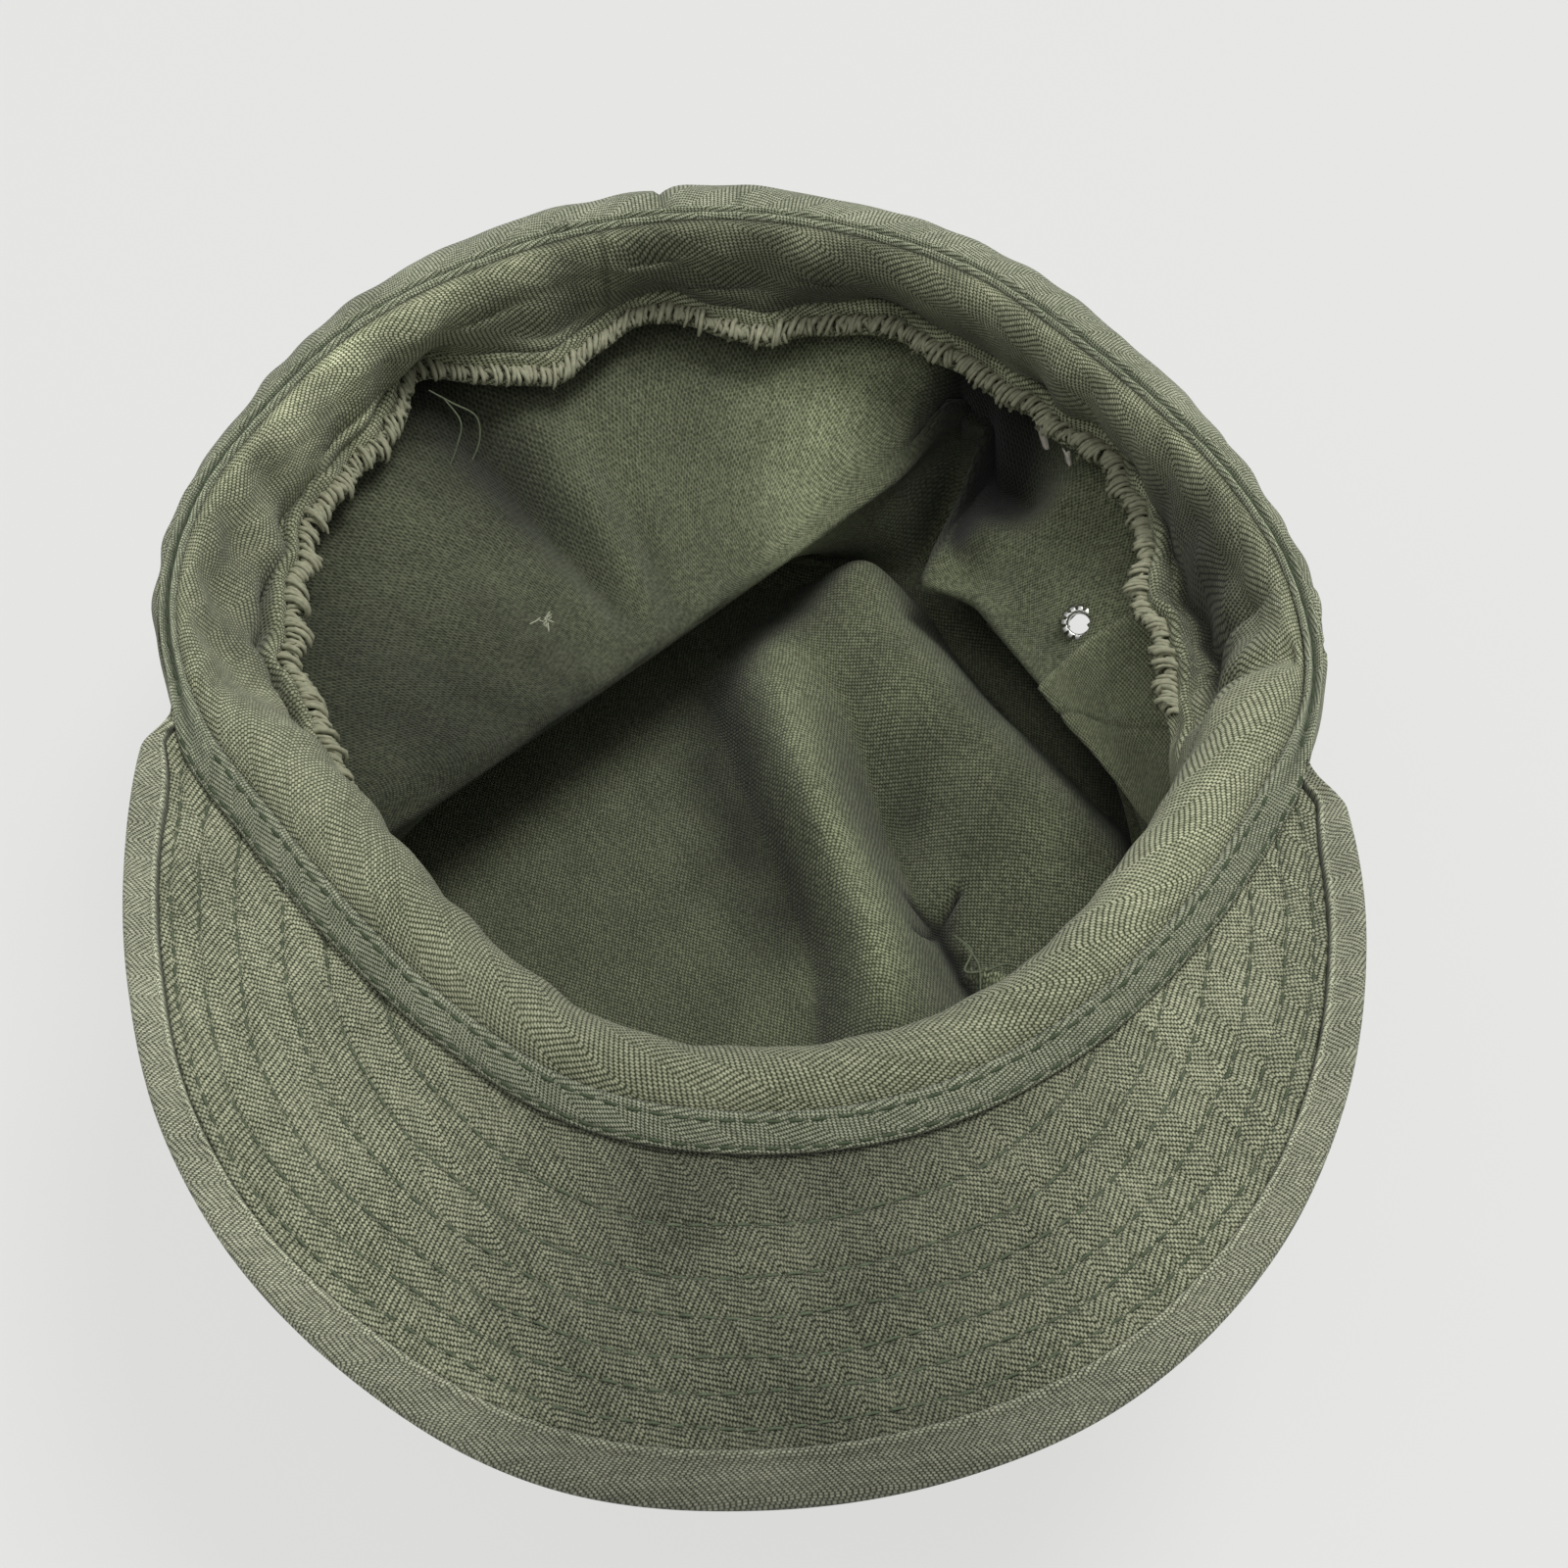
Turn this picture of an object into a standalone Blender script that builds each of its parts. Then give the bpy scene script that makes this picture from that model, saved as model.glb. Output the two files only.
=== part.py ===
# A herringbone twill field cap that lies upside down on its crown, its peak toward -Y. The sizes
# below are millimetres; the objects are in metres, +Z up, with the floor at z = 0.
import math

import bpy
import numpy as np

MM = 0.001

# Named sizes. The rim is the upper edge of the cap as it lies, where a head goes in.
RIM_RADIUS = 90.0
RIM_HEIGHT = 76.0
RIM_DIP = 4.0
CLOTH = 1.4
SEAM_GAP = 0.4
SEAM_LAP = 0.8
WELT_WIDTH = 6.0
WELT_WIDTH_BACK = 2.8
WELT_THICKNESS = 2.0
BAND_HEIGHT = 29.0
BAND_BULGE = 17.0
BAND_THICKNESS = 1.8
FRONT_TUCK = 6.0
SWEATBAND_HEIGHT = 21.0
CROWN_TOP_RADIUS = 77.0
FOLD_NOSE = 3.2
FOLD_BLEND = 4.0
FOLD_SPREAD = 22.0
WALL_SAG = 2.0
SEAM_BEND = 4.0
TOP_FOLD_HEIGHT = 16.5
PEAK_REACH = 53.0
PEAK_LIFT = 8.0
PEAK_INSET = 3.6
PEAK_THICKNESS = 3.2
FACING_THICKNESS = 1.2
HEM_WIDTH = 7.4
HEM_RAISE = 0.7
PATCH_THICKNESS = 1.0
PATCH_LIFT = 1.1
EYELET_RADIUS = 3.2
EYELET_BORE = 1.8
EYELET_WALL = 0.4
EYELET_FLANGE = 0.5

# Sections round the rim by angle in degrees, 0 at +X and 270 at the peak. rim and free are shares
# of RIM_RADIUS for the rim and for the sweatband's free edge, dip is a share of RIM_DIP and bulge
# a share of BAND_BULGE.
SECTION_COLUMNS = ("angle", "rim", "dip", "bulge", "free")
SECTIONS = (
    (0, 1.02, 0.00, 0.26, 0.86),
    (15, 0.98, 0.00, 0.40, 0.90),
    (30, 0.95, 0.00, 0.62, 0.955),
    (45, 0.955, 0.00, 0.77, 0.985),
    (60, 1.00, 0.00, 0.85, 1.03),
    (75, 1.03, 0.00, 0.90, 1.07),
    (90, 1.055, 0.00, 1.00, 1.05),
    (105, 1.06, 0.00, 0.92, 1.07),
    (120, 1.055, 0.00, 0.83, 1.05),
    (135, 1.055, 0.00, 0.62, 1.05),
    (150, 1.04, 0.00, 0.44, 1.015),
    (165, 1.045, -0.10, 0.30, 0.955),
    (180, 1.03, -0.20, 0.20, 0.86),
    (195, 0.99, -0.15, 0.15, 0.80),
    (210, 0.94, 0.00, 0.12, 0.76),
    (225, 0.94, 0.30, 0.12, 0.765),
    (240, 0.98, 0.65, 0.12, 0.81),
    (255, 1.04, 0.90, 0.12, 0.87),
    (270, 1.06, 1.00, 0.12, 0.90),
    (285, 1.065, 0.90, 0.12, 0.91),
    (300, 1.045, 0.65, 0.12, 0.895),
    (315, 1.02, 0.30, 0.12, 0.87),
    (330, 1.015, 0.00, 0.12, 0.86),
    (345, 1.04, -0.15, 0.17, 0.855),
)
# The band's section: out is a share of the bulge beyond the welt, drop and front_drop are shares
# of BAND_HEIGHT below the rim, at the back and under the peak.
BAND_COLUMNS = ("out", "drop", "front_drop")
BAND_PROFILE = (
    (0.00, 0.075, 0.13),
    (0.45, 0.065, 0.20),
    (0.82, 0.19, 0.31),
    (1.00, 0.44, 0.50),
    (0.90, 0.75, 0.75),
    (0.66, 1.00, 1.00),
)
# The sweatband's section: roll_in and roll_drop are the front roll's inset from the rim and depth
# below it, back_in the inset at the back, all shares of SWEATBAND_HEIGHT. to_free is the share of
# the way to the free edge's radius.
SWEATBAND_COLUMNS = ("roll_in", "roll_drop", "back_in", "back_drop", "to_free")
SWEATBAND_PROFILE = (
    (0.06, 0.08, 0.07, 0.09, 0.0),
    (0.14, 0.00, 0.12, 0.14, 0.0),
    (0.28, -0.05, 0.15, 0.25, 0.0),
    (0.45, 0.00, 0.14, 0.40, 0.08),
    (0.60, 0.15, 0.12, 0.56, 0.30),
    (0.68, 0.38, 0.08, 0.70, 0.60),
    (0.70, 0.68, 0.03, 0.85, 0.85),
    (0.72, 1.00, 0.00, 1.00, 1.0),
)
# Puckers of the sweatband's free edge: where each is centred and how wide it is in degrees, and
# out as a share of SWEATBAND_HEIGHT toward the band.
PUCKER_COLUMNS = ("angle", "width", "out")
PUCKERS = (
    (14, 5, -0.16),
    (36, 6, 0.12),
    (71, 7, 0.12),
    (85, 6, -0.22),
    (98, 5, 0.16),
    (113, 7, -0.30),
    (127, 4, 0.40),
    (141, 7, -0.10),
    (160, 7, -0.10),
    (176, 5, 0.10),
)
# Inward folds of the crown's wall. Each has a straight edge: toward is the angle of the edge's
# normal in degrees, distance the edge's share of RIM_RADIUS from the middle, drop its share of
# RIM_HEIGHT below the rim. The fold lies between the angles first and last.
FOLD_COLUMNS = ("toward", "distance", "drop", "first", "last")
FOLDS = (
    (131, 0.33, 0.57, 64, 207),
    (28, 0.67, 0.67, -40, 56),
)
FOLD_FADE = 5.0
# The pit between the two folds: the wall sinks there by PIT_DEPTH, most at PIT_ANGLE.
PIT_DEPTH = 22.0
PIT_ANGLE = 58.5
PIT_WIDTH = 6.0
# Unfolded wall half way down, by angle: share of RIM_RADIUS.
WALL_COLUMNS = ("angle", "wall")
WALL = (
    (0, 0.98),
    (45, 1.02),
    (60, 1.07),
    (90, 1.06),
    (135, 1.05),
    (180, 0.98),
    (225, 0.93),
    (270, 0.96),
    (315, 0.96),
)
# Raised folds of the crown's top in sections along Y. y, each crest's x and the widths of its
# slopes are shares of CROWN_TOP_RADIUS, each height a share of TOP_FOLD_HEIGHT.
TOP_COLUMNS = ("y", "mid_x", "mid_left", "mid_right", "mid_height", "side_x", "side_left",
               "side_right", "side_height")
TOP_FOLDS = (
    (-0.95, 0.40, 0.24, 0.22, 0.60, 1.02, 0.50, 0.16, 0.40),
    (-0.75, 0.38, 0.24, 0.22, 0.80, 1.00, 0.50, 0.16, 0.45),
    (-0.56, 0.35, 0.22, 0.22, 0.92, 0.98, 0.50, 0.16, 0.60),
    (-0.35, 0.31, 0.18, 0.20, 1.00, 0.93, 0.50, 0.16, 0.80),
    (-0.13, 0.25, 0.15, 0.18, 1.00, 0.81, 0.44, 0.16, 0.95),
    (0.10, 0.18, 0.15, 0.18, 1.00, 0.67, 0.34, 0.16, 1.00),
    (0.40, 0.105, 0.17, 0.18, 0.95, 0.50, 0.27, 0.17, 1.00),
    (0.60, 0.06, 0.17, 0.17, 0.80, 0.40, 0.25, 0.18, 0.95),
    (0.80, 0.02, 0.17, 0.17, 0.50, 0.30, 0.25, 0.18, 0.70),
    (1.00, 0.00, 0.17, 0.17, 0.20, 0.24, 0.25, 0.18, 0.30),
)
# The peak by angle: edge is its outline's share of PEAK_REACH beyond its joint, lift the outline's
# height above the rim as a share of PEAK_LIFT, hem the turned edge's share of HEM_WIDTH.
PEAK_COLUMNS = ("angle", "edge", "lift", "hem")
PEAK = (
    (192.5, 0.045, 0.00, 0.20),
    (200, 0.188, 0.20, 0.70),
    (210, 0.375, 0.45, 0.72),
    (220, 0.555, 0.62, 0.74),
    (230, 0.743, 0.50, 0.76),
    (240, 0.881, 0.00, 0.84),
    (250, 0.961, -0.50, 0.95),
    (260, 1.008, -0.85, 1.00),
    (270, 1.000, -1.00, 1.00),
    (280, 0.970, -0.95, 0.98),
    (290, 0.925, -0.60, 0.92),
    (300, 0.819, -0.10, 0.88),
    (310, 0.649, 0.50, 0.84),
    (320, 0.438, 0.75, 0.78),
    (330, 0.233, 0.50, 0.70),
    (338.5, 0.060, 0.00, 0.20),
)


def column(names, rows, name):
    return np.array([row[names.index(name)] for row in rows], float)


def smooth(where, knots, values, period=None):
    """Values on a curve through the knots, with each slope taken from the neighbours."""
    where = np.asarray(where, float)
    if period:
        knots = np.concatenate([knots[-2:] - period, knots, knots[:2] + period])
        values = np.concatenate([values[-2:], values, values[:2]])
        where = (where - knots[2]) % period + knots[2]
    slope = np.gradient(values, knots)
    i = np.clip(np.searchsorted(knots, where, side="right") - 1, 0, len(knots) - 2)
    step = knots[i + 1] - knots[i]
    t = np.clip((where - knots[i]) / step, 0, 1)
    return (
        (2 * t**3 - 3 * t**2 + 1) * values[i]
        + (t**3 - 2 * t**2 + t) * step * slope[i]
        + (3 * t**2 - 2 * t**3) * values[i + 1]
        + (t**3 - t**2) * step * slope[i + 1]
    )


def ease(t, low=0.0, high=1.0):
    t = np.clip((np.asarray(t, float) - low) / (high - low), 0, 1)
    return t * t * (3 - 2 * t)


def section(name, angle):
    angles = column(SECTION_COLUMNS, SECTIONS, "angle")
    return smooth(angle, angles, column(SECTION_COLUMNS, SECTIONS, name), 360.0)


def rim_radius(angle):
    return section("rim", angle) * RIM_RADIUS


def rim_height(angle):
    return RIM_HEIGHT - section("dip", angle) * RIM_DIP


def front(angle, start=196.0, end=336.0, fade=14.0):
    """1 along the peak's joint and 0 round the back."""
    angle = np.asarray(angle, float) % 360.0
    return ease(angle, start - fade, start + fade) * (1 - ease(angle, end - fade, end + fade))


def at(radius, angle, height):
    turn = np.radians(angle)
    return np.stack([radius * np.cos(turn), radius * np.sin(turn), height], axis=-1)


def through(radii, heights, t):
    """Points at the shares t along a curve through a section's control points, the first axis."""
    knots = np.linspace(0, 1, len(radii))
    return (
        np.stack([smooth(t, knots, radii[:, j]) for j in range(radii.shape[1])]),
        np.stack([smooth(t, knots, heights[:, j]) for j in range(heights.shape[1])]),
    )


def welt_tilt(angle):
    return np.radians(38.0 - 4.0 * front(angle))


def welt_width(angle):
    return WELT_WIDTH_BACK + (WELT_WIDTH - WELT_WIDTH_BACK) * front(angle, 194, 338, 7)


def welt_edge(angle):
    """Radius and height of the welt's outer edge."""
    width, tilt = welt_width(angle), welt_tilt(angle)
    return (
        rim_radius(angle) + width * np.cos(tilt),
        rim_height(angle) - width * np.sin(tilt),
    )


def band_section(angle):
    """Control radii and heights of the band, a column for each angle."""
    out = column(BAND_COLUMNS, BAND_PROFILE, "out")[:, None]
    drop = column(BAND_COLUMNS, BAND_PROFILE, "drop")[:, None]
    front_drop = column(BAND_COLUMNS, BAND_PROFILE, "front_drop")[:, None]
    share = front(angle, 183, 349, 9)[None]
    start = WELT_WIDTH_BACK + SEAM_GAP * (0.5 - share * 3)
    bulge = section("bulge", angle)[None] * BAND_BULGE
    inward = share * FRONT_TUCK * ease(front_drop, 0.3, 1.0)
    radii = rim_radius(angle)[None] + start + out * (bulge - start) * (bulge > start) - inward
    drops = drop + (front_drop - drop) * share
    return radii, rim_height(angle)[None] - drops * BAND_HEIGHT


def pucker(angle):
    total = np.zeros_like(np.asarray(angle, float))
    for centre, width, out in PUCKERS:
        away = (angle - centre + 180.0) % 360.0 - 180.0
        total += out * np.exp(-((away / width) ** 2))
    return total * SWEATBAND_HEIGHT


def sweatband_section(angle):
    def get(name):
        return column(SWEATBAND_COLUMNS, SWEATBAND_PROFILE, name)[:, None]

    rim, free = rim_radius(angle)[None], section("free", angle)[None] * RIM_RADIUS
    share = front(angle, 190.0, 352.0, 12.0)[None]
    back = rim - get("back_in") * SWEATBAND_HEIGHT
    back = back + (free + pucker(angle)[None] - rim) * get("to_free")
    roll = rim - get("roll_in") * SWEATBAND_HEIGHT
    roll = roll + (free - roll[-1:]) * get("to_free")
    drops = get("back_drop") + (get("roll_drop") - get("back_drop")) * share
    return back + (roll - back) * share, rim_height(angle)[None] - drops * SWEATBAND_HEIGHT


def fold_line(angle):
    """Radius, height share and depth share of the wall's fold at each angle."""
    angles = column(WALL_COLUMNS, WALL, "angle")
    wall = smooth(angle, angles, column(WALL_COLUMNS, WALL, "wall"), 360.0) * RIM_RADIUS
    reach, drops = [wall], [np.full_like(wall, 0.66)]
    for toward, distance, drop, first, last in FOLDS:
        away = (angle - toward + 180.0) % 360.0 - 180.0
        chord = distance * RIM_RADIUS / np.cos(np.radians(np.clip(away, -80, 80)))
        gone = ease(away, last - toward - FOLD_FADE, last - toward + FOLD_FADE)
        gone = gone + ease(-away, toward - first - FOLD_FADE, toward - first + FOLD_FADE)
        reach.append(np.minimum(chord, RIM_RADIUS * 1.67) + RIM_RADIUS * 0.67 * gone)
        drops.append(np.full_like(wall, drop))
    reach, drops = np.array(reach), np.array(drops)
    weight = np.exp(-(reach - reach.min(axis=0)) / FOLD_BLEND)
    radius = (reach * weight).sum(axis=0) / weight.sum(axis=0)
    drop = (drops * weight).sum(axis=0) / weight.sum(axis=0)
    return radius, drop, ease((wall - radius) / FOLD_SPREAD)


def pit(angle, shift):
    return np.exp(-(((np.asarray(angle) - PIT_ANGLE - shift) / PIT_WIDTH) ** 2))


def crown_section(angle):
    """Control radii and heights of the crown's wall from the band down to the crown's top."""
    band_radii, band_heights = band_section(angle)
    lap = BAND_THICKNESS / 2 + CLOTH / 2 + SEAM_GAP * 2.25
    lap_r = band_radii[-1] * 0.55 + band_radii[-2] * 0.45 - lap
    lap_z = band_heights[-1] * 0.55 + band_heights[-2] * 0.45 - SEAM_LAP
    top_r, top_z = band_radii[-1] - lap - SEAM_GAP, band_heights[-1] - SEAM_LAP
    radius, drop, folded = fold_line(angle)
    nose_z = RIM_HEIGHT - drop * RIM_HEIGHT
    back = FOLD_NOSE * 1.1 * folded
    spread = FOLD_NOSE * (1 + 1.4 * (1 - folded))
    sag = WALL_SAG * (1 - folded)
    seam_r = np.full_like(radius, CROWN_TOP_RADIUS - CLOTH)
    seam_z = np.full_like(radius, CLOTH * 1.5 + SEAM_GAP * 2)
    upper_z = nose_z + spread * 0.9
    lower_z = nose_z - spread
    deep = pit(angle, 0.0)
    deeper = pit(angle, 4.0)
    radii = [
        lap_r,
        top_r,
        top_r + (radius - top_r) * (0.33 - 0.18 * deep) + sag,
        top_r + (radius - top_r) * (0.68 - 0.15 * deeper) + sag,
        radius + back,
        radius,
        radius + back,
        radius + back + (seam_r - radius - back) * (0.5 - 0.28 * (1 - folded)),
        seam_r + SEAM_BEND * (1 - 0.6 * folded),
        seam_r - SEAM_BEND / 2,
    ]
    heights = [
        lap_z,
        top_z,
        top_z + (upper_z - top_z) * 0.30 - PIT_DEPTH * 0.55 * deep,
        top_z + (upper_z - top_z) * 0.66 - PIT_DEPTH * 0.62 * deeper,
        upper_z,
        nose_z,
        lower_z,
        lower_z + (seam_z - lower_z) * (0.45 + 0.1 * (1 - folded)),
        seam_z + SEAM_BEND * 0.3,
        seam_z,
    ]
    return np.array(radii), np.array(heights)


def crown_points(angle, t):
    """Points of the crown's wall at each pair of an angle and a share t of the way down."""
    angle = np.asarray(angle, float)
    t = np.asarray(t, float)
    radii, heights = crown_section(angle)
    knots = np.linspace(0, 1, len(radii))
    r = np.array([smooth(t[j], knots, radii[:, j]) for j in range(len(angle))])
    z = np.array([smooth(t[j], knots, heights[:, j]) for j in range(len(angle))])
    return at(r, angle[:, None], z)


def top_height(x, y):
    """Height of the crown's top above the floor at its raised folds."""
    x, y = x / CROWN_TOP_RADIUS, y / CROWN_TOP_RADIUS
    ys = column(TOP_COLUMNS, TOP_FOLDS, "y")

    def get(name):
        return smooth(y, ys, column(TOP_COLUMNS, TOP_FOLDS, name))

    cubes = 0.0
    for fold in ("mid", "side"):
        away = x - get(fold + "_x")
        width = np.where(away > 0, get(fold + "_right"), get(fold + "_left"))
        bell = np.cos(np.clip(away / width, -1, 1) * math.pi / 2) ** 2
        cubes = cubes + (bell * get(fold + "_height")) ** 3
    return np.cbrt(cubes) * TOP_FOLD_HEIGHT


def crown_top_points(x, y):
    raised = top_height(x, y)
    for toward, distance, drop, _, _ in FOLDS:
        turn = math.radians(toward)
        beyond = x * math.cos(turn) + y * math.sin(turn) - distance * RIM_RADIUS
        raised = raised * (1 - ease(beyond / FOLD_NOSE, -1, 5))
    raised = raised * (1 - ease(np.hypot(x, y) / CROWN_TOP_RADIUS, 0.78, 0.93))
    return np.stack([x, y, raised + CLOTH / 2], axis=-1)


def material(name, colour, metallic=0.0, roughness=0.9):
    made = bpy.data.materials.new(name)
    made.use_nodes = True
    shader = made.node_tree.nodes["Principled BSDF"]
    shader.inputs["Base Color"].default_value = (*colour, 1.0)
    shader.inputs["Metallic"].default_value = metallic
    shader.inputs["Roughness"].default_value = roughness
    return made


def mesh_object(name, points, faces, made_of):
    mesh = bpy.data.meshes.new(name)
    mesh.from_pydata([tuple(p) for p in np.asarray(points) * MM], [], [tuple(f) for f in faces])
    mesh.validate()
    made = bpy.data.objects.new(name, mesh)
    bpy.context.scene.collection.objects.link(made)
    made.data.materials.append(made_of)
    return made


def grid_faces(rows, columns, round_rows=False, round_columns=False):
    faces = []
    for i in range(rows if round_rows else rows - 1):
        for j in range(columns if round_columns else columns - 1):
            a, b = i * columns + j, i * columns + (j + 1) % columns
            c, d = ((i + 1) % rows) * columns + (j + 1) % columns, ((i + 1) % rows) * columns + j
            faces.append((a, b, c, d))
    return faces


def thicken(made, thickness):
    solid = made.modifiers.new("cloth", "SOLIDIFY")
    solid.thickness = thickness * MM
    solid.offset = 0.0
    solid.use_rim = True
    return made


def sheet(name, grid, thickness, made_of, round_rows=False):
    """A cloth sheet through a grid of points, thickened evenly to both sides."""
    rows, columns = grid.shape[:2]
    points = grid.reshape(-1, 3)
    return thicken(
        mesh_object(name, points, grid_faces(rows, columns, round_rows), made_of), thickness
    )


def tube(name, rings, made_of, round_rows=True):
    """A closed solid through rings of points, capped at its ends when it doesn't close."""
    rows, columns = rings.shape[:2]
    faces = grid_faces(rows, columns, round_rows, True)
    if not round_rows:
        faces.append(tuple(range(columns))[::-1])
        faces.append(tuple((rows - 1) * columns + j for j in range(columns)))
    return mesh_object(name, rings.reshape(-1, 3), faces, made_of)


def turn_out(made):
    """Turns the faces to the outside of the closed mesh."""
    mesh = made.data
    mesh.calc_loop_triangles()
    corners = np.array(
        [[mesh.vertices[v].co for v in tri.vertices] for tri in mesh.loop_triangles]
    )
    if np.linalg.det(corners).sum() < 0:
        mesh.flip_normals()
    return made


def add_band(made_of):
    angle = np.arange(0, 360, 360 / 48)
    radii, heights = band_section(angle)
    r, z = through(radii, heights, np.linspace(0, 1, 6))
    return sheet("band", at(r, angle[:, None], z), BAND_THICKNESS, made_of, True)


def add_edge_welt(made_of):
    angle = np.arange(0, 360, 360 / 48)
    width, tilt = welt_width(angle)[:, None], welt_tilt(angle)[:, None]
    along = np.array([-0.06, 0.15, 0.75, 0.96, 0.75, 0.15])[None] * width
    above = np.array([0.0, 0.5, 0.5, 0.0, -0.5, -0.5])[None] * WELT_THICKNESS
    r = rim_radius(angle)[:, None] + along * np.cos(tilt) + above * np.sin(tilt)
    z = rim_height(angle)[:, None] - along * np.sin(tilt) + above * np.cos(tilt)
    return turn_out(tube("edge_welt", at(r, angle[:, None], z), made_of))


def add_sweatband(made_of):
    angle = np.arange(0, 360, 360 / 60)
    radii, heights = sweatband_section(angle)
    r, z = through(radii, heights, np.linspace(0, 1, 8))
    return sheet("sweatband", at(r, angle[:, None], z), CLOTH, made_of, True)


def add_crown_side(made_of):
    near_pit = np.arange(39, 75, 3)
    angle = np.concatenate([np.arange(0, 39, 6.5), near_pit, np.arange(75, 360, 7.125)])
    t = np.array([0, 0.11, 0.19, 0.27, 0.35, 0.41, 0.46, 0.51, 0.555, 0.6, 0.65, 0.72, 0.8, 0.9, 1])
    return sheet("crown_side", crown_points(angle, np.tile(t, (len(angle), 1))), CLOTH, made_of, True)


def add_crown_top(made_of):
    """Straight sections along Y whose points stand at the feet and crests of the raised folds."""
    ys = column(TOP_COLUMNS, TOP_FOLDS, "y")
    y = np.linspace(-0.97, 0.97, 21)
    chord = np.sqrt(1 - y**2)

    def get(name):
        return smooth(y, ys, column(TOP_COLUMNS, TOP_FOLDS, name))

    middle = np.minimum(get("mid_x"), 0.66 * chord)
    foot = np.clip(middle - get("mid_left"), -0.5 * chord, 0.5 * chord)
    valley = np.minimum(middle + get("mid_right"), 0.80 * chord)
    side = np.clip(get("side_x"), valley + 0.03, 0.93 * chord + 0.01)
    stops = np.stack([-chord, foot, middle, valley, side, chord], axis=1)
    shares = np.array([0.0, 4.0, 6.0, 8.0, 10.5, 13.0])
    x = np.array([np.interp(np.arange(14.0), shares, row) for row in stops])
    grid = crown_top_points(x * CROWN_TOP_RADIUS, np.repeat(y[:, None], 14, 1) * CROWN_TOP_RADIUS)
    return sheet("crown_top", grid, CLOTH, made_of)


def peak_table(name, angle):
    angles = column(PEAK_COLUMNS, PEAK, "angle")
    return smooth(angle, angles, column(PEAK_COLUMNS, PEAK, name))


def peak_surface(angle, share, above=0.0):
    """Points of the peak's upper face as it lies, share 0 at the joint and 1 at its outline."""
    _, joint_z = welt_edge(angle)
    joint_r = rim_radius(angle) + PEAK_INSET
    joint_z = joint_z - SEAM_GAP * 1.25
    edge_r = joint_r + peak_table("edge", angle) * PEAK_REACH
    edge_z = RIM_HEIGHT + peak_table("lift", angle) * PEAK_LIFT
    r = joint_r + (edge_r - joint_r) * share
    z = joint_z + (edge_z - joint_z) * (0.35 * share + 0.65 * share**2)
    return r, z + above


def peak_width(angle):
    joint_r, _ = peak_surface(angle, 0.0)
    edge_r, _ = peak_surface(angle, 1.0)
    return edge_r - joint_r


def add_peak_cover(made_of):
    """The stiffened peak: its turned edge stands round a bed for the facing."""
    first, last = PEAK[0][0], PEAK[-1][0]
    angle = np.linspace(first, last, 33)
    width = peak_width(angle)
    hem = peak_table("hem", angle) * HEM_WIDTH / width
    bed = -FACING_THICKNESS - SEAM_GAP * 0.75
    edge = [
        (1 - hem * 1.0, bed),
        (1 - hem * 0.95, HEM_RAISE * 0.8),
        (1 - hem * 0.75, HEM_RAISE),
        (1 - hem * 0.2, HEM_RAISE * 0.4),
        (1 + 0 * hem, -PEAK_THICKNESS * 0.45),
        (1 - hem * 0.2, -PEAK_THICKNESS * 0.85),
    ]
    bed_row = [(share * (1 - hem), bed) for share in (0.0, 0.35, 0.7)]
    under_row = [(share * (1 - hem), -PEAK_THICKNESS) for share in (1.0, 0.7, 0.35, 0.0)]
    rings = []
    for share, above in bed_row + edge + under_row:
        r, z = peak_surface(angle, share, above)
        rings.append(at(r, angle, z))
    return turn_out(tube("peak_cover", np.stack(rings, axis=1), made_of, False))


def add_peak_facing(made_of):
    angle = np.linspace(PEAK[0][0] + 2.5, PEAK[-1][0] - 2.5, 29)
    inner = 1 - (peak_table("hem", angle) * HEM_WIDTH + SEAM_GAP * 1.25) / peak_width(angle)
    grid = []
    for share in np.linspace(0.0, 1.0, 5):
        r, z = peak_surface(angle, share * inner, -FACING_THICKNESS / 2)
        grid.append(at(r, angle, z))
    return sheet("peak_facing", np.stack(grid, axis=1), FACING_THICKNESS, made_of)


# Where the eyelet sits on the crown's wall: the angle in degrees and the share of the way down.
EYELET_ANGLE = 25.0
EYELET_SHARE = 0.34


def wall_frame(angle, share):
    """A point of the crown's wall and its unit normal, toward the inside of the cap."""
    around = np.array([angle, angle + 0.5, angle])
    p, q, s = crown_points(around, np.array([[share], [share], [share + 0.005]]))[:, 0]
    normal = np.cross(q - p, s - p)
    return p, normal / np.linalg.norm(normal)


def place(made, centre, normal):
    """Moves the mesh so that its own Z axis stands along the normal at the centre."""
    side = np.cross([0.0, 1.0, 0.0], normal)
    side = side / np.linalg.norm(side)
    turn = np.stack([side, np.cross(normal, side), normal], axis=1)
    for vertex in made.data.vertices:
        vertex.co = turn @ np.array(vertex.co) + centre * MM
    return made


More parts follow.
